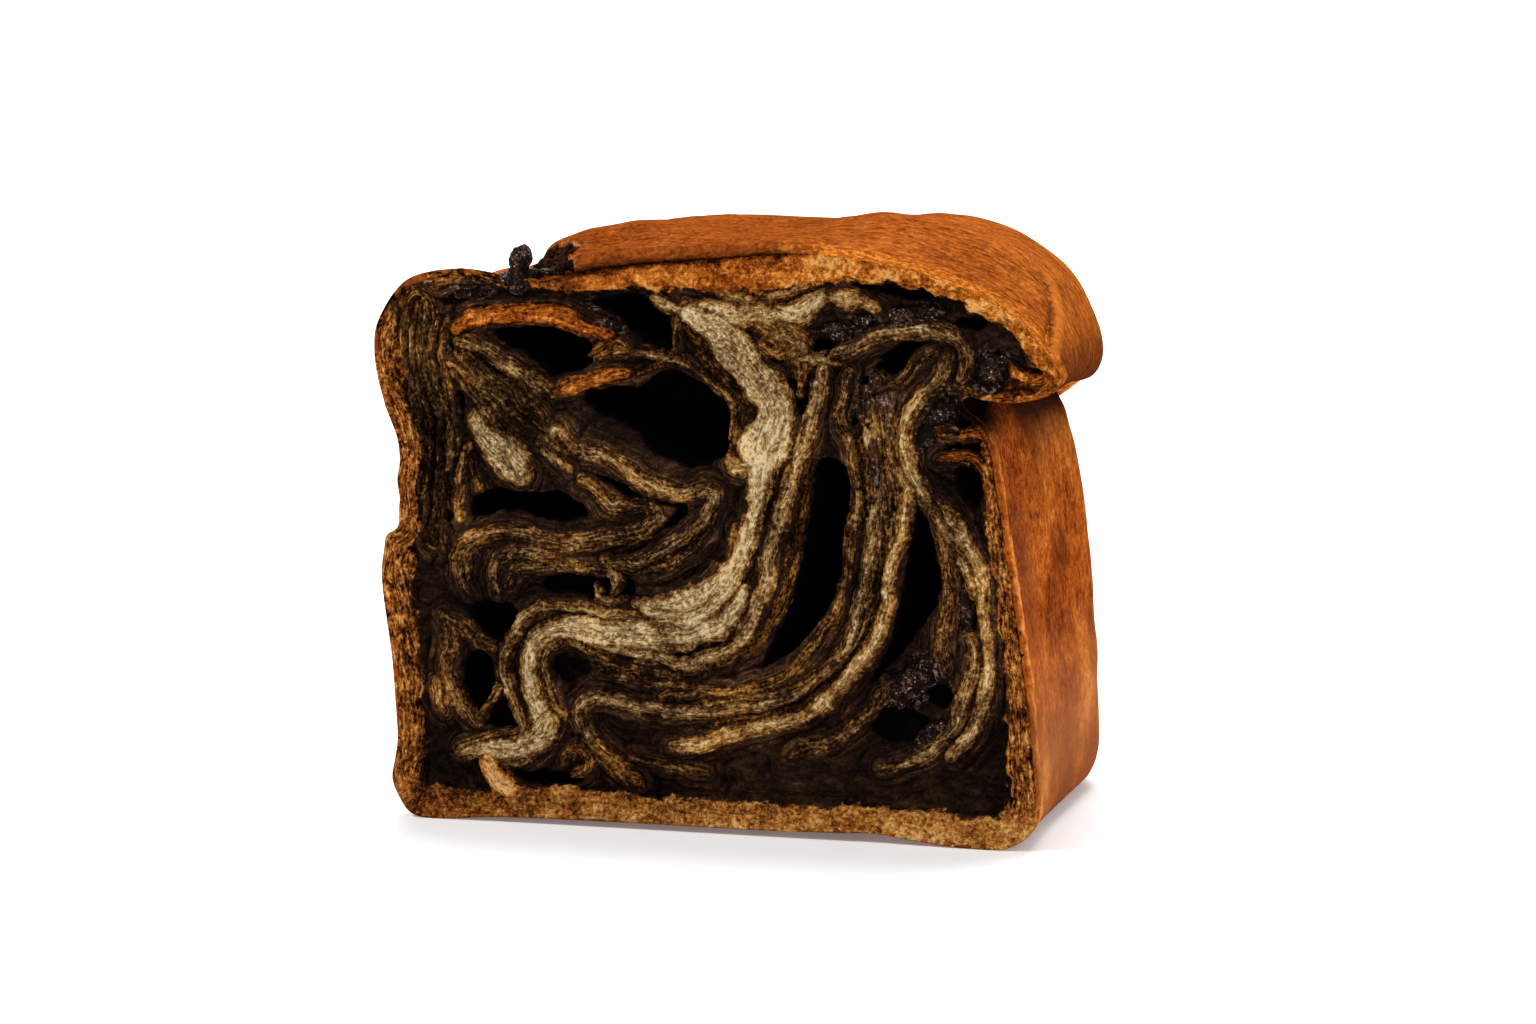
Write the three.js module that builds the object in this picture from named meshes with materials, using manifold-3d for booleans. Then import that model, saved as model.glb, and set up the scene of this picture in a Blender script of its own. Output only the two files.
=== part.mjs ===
// A cut portion of chocolate babka: a twisted yeast loaf baked in a loaf pan, with its cut face at the front.
// Millimetres, +Z up. The cut face looks along -Y and the baked heel, which stood against the end of the
// pan, is at +Y. The origin is the middle of the box's base, on the surface that the loaf stands on.
//
// The loaf is one baked piece, so it is one solid: a section drawn at the cut, another for the body behind
// it, a skin lofted between them, and the air pockets that open in the cut face.
import * as THREE from "three";
import { mergeVertices } from "three/addons/utils/BufferGeometryUtils.js";
import Module from "manifold-3d";

const DEPTH = 80; // from the cut face to the heel
const RISE_DEPTH = 30; // how far behind the cut the loaf has its full section
const RISE_LEFT = 12; // the same at the left end of the top, which rises sooner
const TOP_RECEDE = 4.5; // how far the top's right end comes in towards the heel
const HEEL_LENGTH = 20; // the stretch at the heel that rounds in towards the end of the pan
const HEEL_SIDE = 15; // how far each side comes in at the heel
const HEEL_BASE = 8; // how far the base comes up at the heel
const HEEL_TOP = 17; // how far the top comes down at the heel
const MIDDLE_HEIGHT = 50; // the height that the heel rounds towards
const OUTLINE_POINTS = 104;
const SKIN_STEPS = 16;
const POCKET_POINTS = 20;
const POCKET_TAPER = 0.72; // a pocket's far end beside its mouth
const MOUTH_PROUD = 2; // how far a pocket's cutter stands out of the cut face

// Each row is one point round the section, clockwise from the bottom left: x, z at the cut, then behind it.
const SECTION = [
  // base
  [-53.5, 0, -53, 0], [-30, 0, -30, 0], [0, 0, 0, 0], [30, 0, 30, 0], [52.5, 0, 52.5, 0],
  // right wall, from the pan's rounded corner to the shoulder
  [56.8, 1.6, 56.2, 1.6], [59.2, 5.2, 57.8, 5.2], [59.6, 12, 58.5, 12], [58.8, 24, 57.8, 24],
  [57.2, 34, 57, 34], [55.4, 46, 55.8, 46], [53.8, 57, 54.3, 57], [52.4, 66, 52.4, 66],
  [51.2, 70.6, 50.9, 72],
  // crease under the overhanging top
  [48.4, 72.3, 49.2, 77], [46, 74, 48.2, 79.3], [46.2, 77.4, 48.6, 80.8], [48.6, 79, 50.6, 81],
  // overhanging lip of the top
  [53, 77.9, 54, 80.4], [58.5, 79, 58, 80.4], [63, 81, 61.6, 82.8], [61, 84.6, 62.4, 88],
  [57, 87.6, 59.6, 94.2], [52, 91.8, 54.6, 100.6], [46, 95.4, 48.4, 104.6],
  // dome of the top
  [38, 98.3, 39.6, 107.2], [28, 100.6, 29, 108], [17, 101.9, 17, 107], [4, 101, 4, 106.6],
  [-8, 100, -8.5, 106.8], [-18, 98.6, -20.5, 106.2], [-25.5, 97.5, -30, 103.6],
  // step down to the left strand, and its shoulder
  [-31, 96.8, -34, 99.6], [-36, 97.6, -36.6, 97.6], [-42.5, 99, -42, 97.4], [-49, 98.6, -48.5, 96.4],
  [-54, 97.2, -54.5, 94.2], [-57.6, 94.2, -58.8, 91.4], [-60, 90, -61.6, 87.6],
  // left wall, with its waist and the torn edge below it
  [-61.2, 85, -63, 83.4], [-61, 80.5, -63.4, 79], [-59.3, 75, -62, 73], [-57.3, 69, -59.8, 67],
  [-56.6, 62, -58.6, 61], [-57, 54, -58.6, 54], [-58, 52, -58.8, 51.6], [-59.9, 50.2, -59.2, 50],
  [-60.2, 45, -59.4, 45], [-59.8, 39, -59.4, 39], [-58.7, 30, -58.8, 30], [-57.9, 21, -58.2, 21],
  [-57.7, 13, -57.8, 13], [-58.4, 8, -58, 8], [-57, 3, -56.6, 3],
];

// The air pockets that open in the cut face: how deep each runs, and its mouth's points (x, z).
const POCKETS = {
  arch: { deep: 22, mouth: [[-38.8, 87.9], [-34.5, 88.9], [-29, 88.7], [-24, 87], [-21, 85], [-22, 81.6],
    [-25.5, 79.9], [-28.6, 79.9], [-31, 81.6], [-33.4, 84], [-36.8, 85.8]] },
  under_lip: { deep: 20, mouth: [[-19, 93.8], [-15, 94.9], [-10.6, 94.2], [-9.4, 92.2], [-6.9, 90.8],
    [-5.9, 87], [-7.4, 85], [-11, 86.2], [-13, 89], [-16, 91.3]] },
  great: { deep: 26, mouth: [[-21, 77.6], [-14.5, 77.4], [-11.5, 79.2], [-8, 81.2], [-4, 81], [0.6, 78.6],
    [3.6, 75.4], [4.3, 71], [3, 66.5], [-1, 64.4], [-6, 64.2], [-11.5, 66.4], [-14, 69], [-17, 73.4]] },
  left: { deep: 18, mouth: [[-43.4, 57.2], [-40, 58.7], [-35, 58.3], [-30.4, 59.2], [-26.5, 60.3],
    [-23.4, 57.8], [-23.6, 55.8], [-28, 54.7], [-34, 54.8], [-40, 55.3]] },
  long: { deep: 28, mouth: [[19.6, 66], [22, 67.2], [24.5, 65.4], [26, 61], [25.4, 55], [24.4, 50], [24.4, 46],
    [22.6, 41], [19.4, 35.6], [15.4, 32], [11.8, 30.8], [10.2, 32.4], [12.8, 37], [15.2, 43], [17, 50],
    [18.4, 58]] },
  right: { deep: 22, mouth: [[37.6, 59], [38.8, 57.6], [40, 53], [41.2, 48], [41.4, 43.6], [39.4, 41],
    [37, 38.8], [35.4, 40.2], [35.2, 44], [36.2, 50], [37, 55]] },
  lower_left: { deep: 15, mouth: [[-43.8, 38], [-41.6, 39.6], [-38.8, 39.4], [-36.4, 38], [-37.8, 34.4],
    [-39.2, 32.8], [-41.8, 34]] },
  ring: { deep: 12, mouth: [[-45.4, 27.4], [-43.4, 28.8], [-41, 29.6], [-39.9, 27.4], [-39.8, 24.6],
    [-42.2, 21.4], [-44.4, 23], [-45.6, 25.4]] },
  right_arch: { deep: 14, mouth: [[30.9, 84.6], [32.6, 86.2], [35.4, 86.8], [37.2, 86], [36, 83.8],
    [34, 81.6], [31.8, 82]] },
};

const wasm = await Module();
wasm.setup();

// A closed smooth curve through [x, z] pairs, cut into count points that keep the pairs' order.
function smoothLoop(pairs, count) {
  const knots = pairs.map(([x, z]) => new THREE.Vector3(x, z, 0));
  const curve = new THREE.CatmullRomCurve3(knots, true, "centripetal");
  return Array.from({ length: count }, (_, i) => curve.getPoint(i / count));
}

// How far the body section has taken over from the cut one, from 0 at the cut to 1, at a point (x, z).
function bodyShare(behindCut, x, z) {
  const left = THREE.MathUtils.smoothstep(z, 84, 94) * (1 - THREE.MathUtils.smoothstep(x, -26, 20));
  const rise = THREE.MathUtils.lerp(RISE_DEPTH, RISE_LEFT, left);
  return Math.sin((Math.PI / 2) * Math.min(1, behindCut / rise));
}

// How far the overhanging end of the top has come in at a point (x, z).
function topRecede(behindCut, x, z) {
  const along = THREE.MathUtils.smoothstep(behindCut, 35, 65);
  return TOP_RECEDE * along * THREE.MathUtils.smoothstep(z, 70, 84) * THREE.MathUtils.smoothstep(x, 20, 55);
}

// How far a quarter round has turned in, from 0 where the heel begins to 1 at its end.
function heelShare(behindCut) {
  const along = Math.max(0, (behindCut - (DEPTH - HEEL_LENGTH)) / HEEL_LENGTH);
  return 1 - Math.sqrt(1 - along * along);
}

// The extrusion's even steps, spread so that the rings lie close together where the heel rounds.
function spread(along) {
  return DEPTH * Math.sin((Math.PI / 2) * (along / DEPTH));
}

// Moves a point of the straight extrusion to its place in the loaf.
function shapeSkin(cut, body, behindCut) {
  const share = bodyShare(behindCut, cut.x, cut.y);
  const heel = heelShare(behindCut);
  const z = Math.max(0, THREE.MathUtils.lerp(cut.y, body.y, share));
  const x = THREE.MathUtils.lerp(cut.x, body.x, share) - topRecede(behindCut, body.x, z);
  const halfWidth = 60;
  const inwards = 1 - (heel * HEEL_SIDE) / halfWidth;
  const towardsMiddle = (z > MIDDLE_HEIGHT ? HEEL_TOP : HEEL_BASE) / MIDDLE_HEIGHT;
  return [x * inwards, behindCut, MIDDLE_HEIGHT + (z - MIDDLE_HEIGHT) * (1 - heel * towardsMiddle)];
}

// The outside of the loaf: the cut section extruded back in steps, with each step's points moved.
function loafSkin() {
  const cut = smoothLoop(SECTION.map((row) => row.slice(0, 2)), OUTLINE_POINTS);
  const body = smoothLoop(SECTION.map((row) => row.slice(2)), OUTLINE_POINTS);
  const nearest = (x, z) => {
    const gaps = cut.map((p) => Math.hypot(p.x - x, p.y - z));
    return gaps.indexOf(Math.min(...gaps));
  };
  const shape = new THREE.Shape(cut.map((p) => new THREE.Vector2(p.x, p.y)));
  const geometry = new THREE.ExtrudeGeometry(shape, { depth: DEPTH, steps: SKIN_STEPS, bevelEnabled: false });
  const places = geometry.getAttribute("position");
  for (let i = 0; i < places.count; i++) {
    const at = nearest(places.getX(i), places.getY(i));
    places.setXYZ(i, ...shapeSkin(cut[at], body[at], spread(DEPTH - places.getZ(i))));
  }
  return geometry;
}

// The cutter for one air pocket: its mouth's outline run back from the cut face, narrowing as it goes.
function pocketCutter({ deep, mouth }) {
  const outline = smoothLoop(mouth, POCKET_POINTS);
  const centre = outline.reduce((sum, p) => sum.add(p), new THREE.Vector3()).divideScalar(outline.length);
  const shape = new THREE.Shape(outline.map((p) => new THREE.Vector2(p.x, p.y)));
  const length = deep + MOUTH_PROUD;
  const geometry = new THREE.ExtrudeGeometry(shape, { depth: length, steps: 2, bevelEnabled: false });
  const places = geometry.getAttribute("position");
  for (let i = 0; i < places.count; i++) {
    const back = (length - places.getZ(i)) / length;
    const narrowed = THREE.MathUtils.lerp(1, POCKET_TAPER, back * back);
    const x = centre.x + (places.getX(i) - centre.x) * narrowed;
    const z = centre.y + (places.getY(i) - centre.y) * narrowed;
    places.setXYZ(i, x, back * length - MOUTH_PROUD, z);
  }
  return geometry;
}

// A closed geometry as a manifold-3d solid, with only its shared positions kept.
function solidOf(geometry) {
  geometry.deleteAttribute("normal");
  geometry.deleteAttribute("uv");
  const merged = mergeVertices(geometry, 1e-3);
  return new wasm.Manifold(
    new wasm.Mesh({
      numProp: 3,
      vertProperties: merged.getAttribute("position").array,
      triVerts: new Uint32Array(merged.index.array),
    }),
  );
}

// A manifold-3d solid back as a three.js geometry.
function geometryOf(solid) {
  const mesh = solid.getMesh();
  const geometry = new THREE.BufferGeometry();
  geometry.setAttribute("position", new THREE.BufferAttribute(mesh.vertProperties, 3));
  geometry.setIndex(new THREE.BufferAttribute(mesh.triVerts, 1));
  geometry.computeVertexNormals();
  return geometry;
}

let loaf = solidOf(loafSkin());
for (const pocket of Object.values(POCKETS)) {
  loaf = loaf.subtract(solidOf(pocketCutter(pocket)));
}
const geometry = geometryOf(loaf);
geometry.computeBoundingBox();
const middle = geometry.boundingBox.getCenter(new THREE.Vector3());
geometry.translate(-middle.x, -middle.y, -geometry.boundingBox.min.z);

const crust = new THREE.MeshStandardMaterial({ color: 0xa85a22, roughness: 0.55, metalness: 0 });
const babka = new THREE.Mesh(geometry, crust);
babka.name = "babka";

const group = new THREE.Group();
group.name = "babka_portion";
group.add(babka);
export default group;
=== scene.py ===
# %% [markdown]
# # A cut portion of chocolate babka
#
# The loaf comes in from its CAD model, and this script gives it its looks: the swirled crumb of the cut
# face, the baked crust, and the dark filling. Everything is in metres in the model's own frame: +Z up, the
# cut face towards -Y, the heel towards +Y. The lists below are in millimetres, which suit a loaf better.

# %% Load the model
import math
import bmesh
import bpy
import numpy as np
from mathutils import Matrix, Vector


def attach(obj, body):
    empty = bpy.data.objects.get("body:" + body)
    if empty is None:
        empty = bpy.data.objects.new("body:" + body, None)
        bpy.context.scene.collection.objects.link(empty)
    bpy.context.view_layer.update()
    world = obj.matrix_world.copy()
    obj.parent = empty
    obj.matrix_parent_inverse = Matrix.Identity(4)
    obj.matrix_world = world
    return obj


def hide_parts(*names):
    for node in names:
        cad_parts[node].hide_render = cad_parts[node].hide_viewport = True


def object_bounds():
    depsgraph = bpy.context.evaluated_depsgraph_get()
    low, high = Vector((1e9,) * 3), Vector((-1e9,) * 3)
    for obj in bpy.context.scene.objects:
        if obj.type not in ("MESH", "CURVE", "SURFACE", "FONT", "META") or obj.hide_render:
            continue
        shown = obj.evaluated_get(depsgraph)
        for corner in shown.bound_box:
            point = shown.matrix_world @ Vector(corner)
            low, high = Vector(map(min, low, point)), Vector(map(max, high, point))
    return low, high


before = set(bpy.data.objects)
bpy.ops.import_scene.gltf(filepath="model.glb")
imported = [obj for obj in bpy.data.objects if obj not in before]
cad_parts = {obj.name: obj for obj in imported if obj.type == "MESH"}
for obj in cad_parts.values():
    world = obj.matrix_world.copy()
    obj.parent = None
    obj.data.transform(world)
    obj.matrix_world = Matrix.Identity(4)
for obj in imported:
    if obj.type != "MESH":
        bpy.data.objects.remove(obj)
cad_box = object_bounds()
MM = 0.001
CUT_Y = cad_box[0].y / MM
HEEL_Y = cad_box[1].y / MM
DEPTH = HEEL_Y - CUT_Y
print("box in mm:", [round(value / MM, 1) for corner in cad_box for value in corner])

# %% [markdown]
# ## The two outlines
#
# The loaf is a skin between two sections: the outline of the cut face, and a fuller one behind it, where the
# top has risen. Each row is one point round the section, clockwise from the bottom left: x and z at the cut,
# x and z behind it, and how wide the crust's band shows on the cut face there. A smooth closed curve through
# the rows gives both outlines, point for point, so a ring of the skin is a blend of the two.

# %% The section's rows
SECTION = [
    # base
    (-55.0, 0.7, -54, 0, 5), (-50, 0.0, -50, 0, 5.5), (-40, 0.8, -40, 0, 4.5), (-28, 1.1, -28, 0, 5.7),
    (-10, 1.2, -10, 0, 4.8), (10, 1.2, 10, 0, 4.6), (24, 1.5, 24, 0, 4.5), (31, 1.7, 31, 0, 4.6),
    (37, 1.0, 37, 0, 5.2), (43, 0.3, 43, 0, 5.4), (50, 0, 50, 0, 5.2), (54, 0.3, 53.6, 0.2, 5.4),
    # right wall
    (56.9, 1.7, 56.3, 1.7, 5.6), (58.9, 3.7, 57.6, 3.9, 5.6), (60, 6.8, 58.4, 7, 5.6),
    (59.9, 11, 58.5, 12, 5.4), (59.3, 16, 58.2, 18, 5.2), (58.7, 23, 57.8, 24, 4.6),
    (57.8, 30.5, 57.2, 31, 4), (56.8, 37, 56.7, 38, 4.2), (55.7, 43.5, 56.1, 44, 3.9),
    (54.5, 51, 55.2, 51, 3.3), (53.5, 57, 54.3, 57, 3), (52.7, 62.5, 53.2, 63, 2.4),
    (51.8, 67.8, 51.9, 69, 1.6), (50.6, 71.6, 50.6, 74.2, 0.3),
    # crease under the overhanging top
    (48.8, 73.7, 49.2, 77.4, -1.2), (46.4, 75.1, 48.2, 79.2, -1.6), (45.4, 77, 48.4, 80.3, -1.6),
    (46.8, 78.3, 49.6, 80.9, -1),
    # overhanging lip
    (50, 77.7, 51.6, 80.4, 0.4), (54, 77.3, 54.6, 79.2, 0.8), (58, 77.8, 58.4, 78.9, 1.2),
    (61.2, 78.9, 61.2, 80, 1.4), (63.6, 81.2, 62.6, 83, 1.5), (62.3, 83.4, 62.2, 87, 1.1),
    (60.8, 85.4, 60.7, 90.8, 2), (59, 88, 58.7, 94.7, 2.9), (56.5, 90.6, 55.4, 98.8, 3),
    (53, 93.1, 51.1, 102.2, 3), (49, 95.3, 46.6, 104.6, 3), (44, 97.5, 42, 106, 3),
    # dome
    (38, 99.3, 37, 107.1, 3), (32, 100.6, 31, 107.7, 3.2), (26, 101.6, 25.4, 107.8, 4.2),
    (20, 102.1, 19.6, 107, 5.2), (12, 102, 12, 106.5, 6), (4, 101.3, 4, 106.4, 5.6),
    (-4, 100.7, -4, 106.7, 5), (-12, 99.9, -13, 106.8, 4.2), (-20, 98.8, -23.5, 105.4, 3.6),
    (-25.6, 97.7, -30.4, 103.6, 2.4),
    # step down to the left strand, and its shoulder
    (-30.4, 97, -33.7, 101.6, 1.4), (-35.8, 97.4, -35.8, 98, 1.2), (-39, 98.3, -39, 97.2, 1.6),
    (-44, 98.9, -43.6, 97.1, 2), (-50, 98.4, -49.4, 95.9, 2), (-54.5, 97, -54, 94, 2),
    (-57.3, 94.5, -58, 91.6, 2.2), (-59.5, 91.2, -60.9, 88.4, 2.8), (-60.9, 88, -62.4, 85.4, 3.6),
    # left wall, with its waist and the torn edge below it
    (-61.2, 84.5, -63.2, 82.4, 4.4), (-60.9, 81, -63.1, 79, 4.6), (-60, 77, -62.4, 75.4, 4.4),
    (-58.5, 72.5, -61.2, 71.2, 4), (-57, 68.5, -60, 67.2, 3.6), (-56.6, 64.5, -59.2, 63.2, 3.4),
    (-57.1, 61, -58.8, 59.8, 3.6), (-56.7, 58, -58.6, 56.8, 3.4), (-56.8, 54.6, -58.6, 53.6, 3.4),
    (-57.2, 52.4, -58.8, 51.4, 3.6), (-59.2, 51.1, -59, 50.2, 5), (-59.8, 48.4, -59.2, 48, 5.6),
    (-60.3, 44.5, -59.3, 44.4, 6), (-60, 40, -59.3, 40, 5.8), (-59.3, 35, -59.1, 35, 5.4),
    (-58.5, 29, -58.8, 29, 5), (-58, 22, -58.5, 22, 4.6), (-57.6, 14.5, -58.1, 14.6, 4.4),
    (-58.2, 10.3, -57.9, 10.3, 4.8), (-58.7, 7, -57.6, 6.8, 5), (-57.5, 3.8, -56.4, 3.2, 5),
]


# %% [markdown]
# A Catmull-Rom curve goes through all its points, so the lists can hold points that were chosen one by one.
# The same function smooths the open strands later on.

# %% Smooth curves through rows of numbers
def smooth_rows(rows, per_row, closed):
    """A curve through the rows, whatever they hold, with per_row steps from each row to the next."""
    rows = np.array(rows, float)
    if closed:
        wrapped = np.vstack([rows[-1:], rows, rows[:2]])
    else:
        wrapped = np.vstack([2 * rows[:1] - rows[1:2], rows, 2 * rows[-1:] - rows[-2:-1]])
    before, start, end, after = wrapped[:-3], wrapped[1:-2], wrapped[2:-1], wrapped[3:]
    steps = np.arange(per_row)[:, None, None] / per_row
    curve = 0.5 * (
        2 * start
        + (end - before) * steps
        + (2 * before - 5 * start + 4 * end - after) * steps**2
        + (3 * start - before - 3 * end + after) * steps**3
    )
    curve = curve.transpose(1, 0, 2).reshape(-1, rows.shape[1])
    return curve if closed else np.vstack([curve, rows[-1:]])


def smoothstep(low, high, value):
    """0 below low, 1 above high, and a smooth ramp between."""
    share = np.clip((value - low) / (high - low), 0, 1)
    return share * share * (3 - 2 * share)


def fade(low, high, value):
    """1 below low, 0 above high, and a smooth ramp between."""
    return 1 - smoothstep(low, high, value)


section = smooth_rows(SECTION, 16, closed=True)
cut_outline = section[:, :2]
print("points round the cut:", len(cut_outline))


# %% [markdown]
# Bread is uneven at every scale, so shapes and colours both need a smooth noise. This one mixes the values
# of a lattice of hashed whole numbers. It is worked out from the place alone, so every run gives the same.

# %% Noise
def lattice(column, row, seed):
    """A repeatable value from -1 to 1 for each lattice point."""
    mixed = (column * 374761393 + row * 668265263 + seed * 974634777) & 0xFFFFFFFF
    mixed = ((mixed ^ (mixed >> 13)) * 1274126177) & 0xFFFFFFFF
    return ((mixed ^ (mixed >> 16)) & 0xFFFF) / 32767.5 - 1


def noise(across, along, seed=0, octaves=1):
    """Smooth noise about 0 at places given in lattice steps, with finer octaves at half the strength."""
    total = np.zeros(np.shape(across))
    strength = 1.0
    for octave in range(octaves):
        a, b = across * 2**octave + 19.7 * octave, along * 2**octave + 7.3 * octave
        column, row = np.floor(a).astype(np.int64), np.floor(b).astype(np.int64)
        share_a, share_b = smoothstep(0, 1, a - column), smoothstep(0, 1, b - row)
        corners = [[lattice(column + i, row + j, seed + octave) for i in (0, 1)] for j in (0, 1)]
        low = corners[0][0] * (1 - share_a) + corners[0][1] * share_a
        high = corners[1][0] * (1 - share_a) + corners[1][1] * share_a
        total += strength * (low * (1 - share_b) + high * share_b)
        strength *= 0.5
    return total


def patches(points, size, seed, octaves=1):
    """Noise at the points (rows of two numbers) whose patches are about as wide as the size."""
    return noise(points[:, 0] / size, points[:, 1] / size, seed, octaves)


# %% [markdown]
# ## The swirl
#
# A babka's dough is spread with filling, rolled, cut and twisted, so the cut shows the edges of many thin
# sheets of dough with dark filling or air between them. Each sheet's edge is a strand: a curve of points,
# each x, z and half the strand's width there. Its tone runs from 0, dark, to 1, the palest dough, its warmth
# from 0, grey, to 1, orange, and its level is how far behind the cut it lies.

# %% The strands, part 1: the thick pale strand and what runs beside it
STRANDS = []


def strand(tone, warmth, level, width, points):
    """Keeps a strand whose points are x, z pairs of one half width, or x, z, half width."""
    rows = [(*point, width)[:3] for point in points]
    STRANDS.append((tone, warmth, level, smooth_rows(rows, 5, closed=False)))


strand(1.0, 0.12, 0, 3, [
    (-4.8, 92.6, 0.8), (-1.7, 91.3, 2.6), (3.2, 87.8, 3.5), (7.2, 83.2, 3.9), (10.8, 79.3, 3.8),
    (12.8, 75.6, 3.6), (12.5, 71.8, 4.2), (10.8, 68, 4.7), (10.4, 64.4, 2.9), (10.2, 61, 2),
    (9.2, 57.6, 1.8), (8.4, 54.5, 1.8), (7.4, 51.5, 1.9), (6.4, 48.8, 2.1), (4.9, 46.2, 2.4),
    (3, 43.8, 2.9), (0.6, 41.6, 3.5), (-2.6, 39.8, 3.8), (-6, 39.4, 3.2), (-9.4, 39.8, 2.2),
    (-12.4, 40.4, 1.2)])
strand(0.95, 0.3, 0, 1.4, [(4.6, 66, 0.9), (5.6, 65.2, 1.5), (8, 64.8, 1.8), (10, 65.4, 1.6)])
strand(0.94, 0.1, 0.2, 1.8, [
    (7, 43, 1.4), (5, 39.8, 2), (2.4, 37.2, 2.4), (-1, 35.7, 2.7), (-5, 35, 2.9), (-9, 34.8, 3),
    (-13, 34.9, 3), (-17, 35, 2.9), (-21, 35.2, 2.7), (-25, 35.4, 2.3), (-28.4, 34.8, 2), (-31, 33, 2),
    (-32.5, 30.4, 2), (-32.9, 27.6, 2), (-32.4, 24.8, 2), (-31.6, 22, 2.1), (-30.6, 19.6, 2.2),
    (-29.7, 17.4, 2.4), (-30, 15.6, 2.2)])
strand(0.72, 0.2, 0.2, 1.3, [
    (-12, 38, 1), (-16, 38.1, 1.2), (-20, 38.4, 1.3), (-24, 39.1, 1.3), (-27.5, 39.3, 1.3),
    (-30.5, 38.7, 1.3), (-33.2, 37.3, 1.3), (-35.3, 35, 1.3), (-36.8, 32, 1.3), (-37.6, 28.8, 1.4),
    (-37.4, 26, 1.3), (-36.4, 23, 1.2), (-35, 19.8, 1.2), (-33.6, 16.6, 1.3)])
strand(0.62, 0.2, 0.5, 0.9, [
    (-18, 30.6, 0.7), (-21, 31.8), (-24, 33.2), (-26.8, 33.3), (-29, 31.8), (-29.9, 29.5), (-29.6, 27),
    (-28.9, 24.5), (-27.8, 22), (-26.4, 20, 0.7)])
strand(0.84, 0.15, 0, 1.9, [
    (-28.9, 18.4, 2.4), (-30.6, 15.4, 2.7), (-34, 13.4, 2.6), (-37.5, 12.7, 2.4), (-41, 12.8, 2),
    (-45.4, 12.4, 1)])
strand(0.6, 0.3, 0.4, 0.8, [(-34, 15.9), (-38, 15.4), (-42, 14.5), (-46, 12.9, 0.6)])
strand(1.25, 0.72, -0.3, 2.2, [
    (-40.6, 10.6, 2.1), (-39.6, 8.8, 2.3), (-38.4, 7, 2.5), (-36.4, 5.6, 2.1), (-34, 4.7, 1.4),
    (-31, 4.2, 0.9)])
strand(0.52, 0.5, 0.2, 1.0, [
    (-26.4, 11, 0.8), (-25.4, 13, 1.1), (-23.4, 13.5, 1.2), (-21.8, 12, 1.1), (-22.2, 9.8, 0.9),
    (-24.4, 9.2, 0.8)])
strand(0.5, 0.6, 0.3, 1.5, [(-22.4, 15.4, 0.9), (-19.6, 13.6, 1.5), (-16, 11, 1.6), (-12.4, 8.4, 1)])
strand(0.42, 0.3, 0.6, 1.8, [(-50.2, 24.4, 0.9), (-49.8, 22, 1.8), (-49.4, 19.6, 0.9)])
strand(0.85, 0.1, 0.5, 1.2, [
    (-20, 33, 0.8), (-16, 32), (-12, 31.3), (-8, 30.9), (-5.4, 30.1), (-3, 29.6, 1.3), (-1.2, 29.6, 0.8)])
strand(0.5, 0.2, 0.8, 0.8, [(-20, 29.6), (-16, 28.6), (-12, 28), (-8, 27.6), (-3, 28), (-1, 28.5)])
strand(0.45, 0.2, 1, 0.7, [(-19, 28), (-14, 27), (-8, 26.3), (-4, 26.3)])
strand(0.8, 0.15, 0.1, 1.4, [
    (21.4, 84.4, 1.5), (20.9, 81, 1.5), (20.1, 77.7, 1.5), (19.5, 73), (18.6, 70.4), (17.4, 67.5),
    (16.3, 64.4), (15.2, 61.4), (14.4, 58.8), (13.6, 56), (12.8, 53), (11.9, 50), (11.5, 47), (10.8, 44),
    (9.7, 41), (8.2, 37.6), (6.7, 35), (4.8, 33.2), (2.5, 32), (0, 31.1), (-2.4, 30.2, 1)])
strand(0.88, 0.1, 0, 1.2, [(16.6, 84.2, 0.8), (19, 84.4, 1.3), (21.5, 84), (23.4, 83.2, 0.7)])
strand(0.34, 0.3, 1.0, 3.4, [
    (31.4, 80.4, 2), (31, 76, 3.6), (31.4, 71, 4), (31.6, 66, 3.8), (32, 60, 3.4), (31.8, 54, 2.8),
    (31, 48, 2.4), (29.6, 42, 2.2), (26.6, 35.6, 2.2), (22.4, 29.8, 2.2), (16, 25.6, 2), (8, 23.8, 1.6),
    (0, 23, 1)])
strand(0.26, 0.3, 1.3, 4.4, [
    (-53, 92, 3), (-53.4, 84, 4.4), (-52, 76, 4.2), (-50.4, 68, 3.4), (-50.6, 58, 3), (-51, 50, 2)])
strand(0.3, 0.3, 1.2, 3.4, [
    (-44, 82.6, 2.4), (-38.6, 78, 3.6), (-33.6, 73.4, 3.6), (-30, 70.4, 2.6), (-26, 67, 1)])
strand(0.35, 0.5, 2.2, 0.9, [
    (18.9, 66), (17.8, 60), (16.7, 54), (15.8, 50), (14.7, 44), (12.9, 40), (11.4, 37), (9.7, 34.5),
    (6.4, 32), (2, 30)])

# %% [markdown]
# The strands right of the middle run down from under the top, turn along the base and fade to the left.

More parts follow.
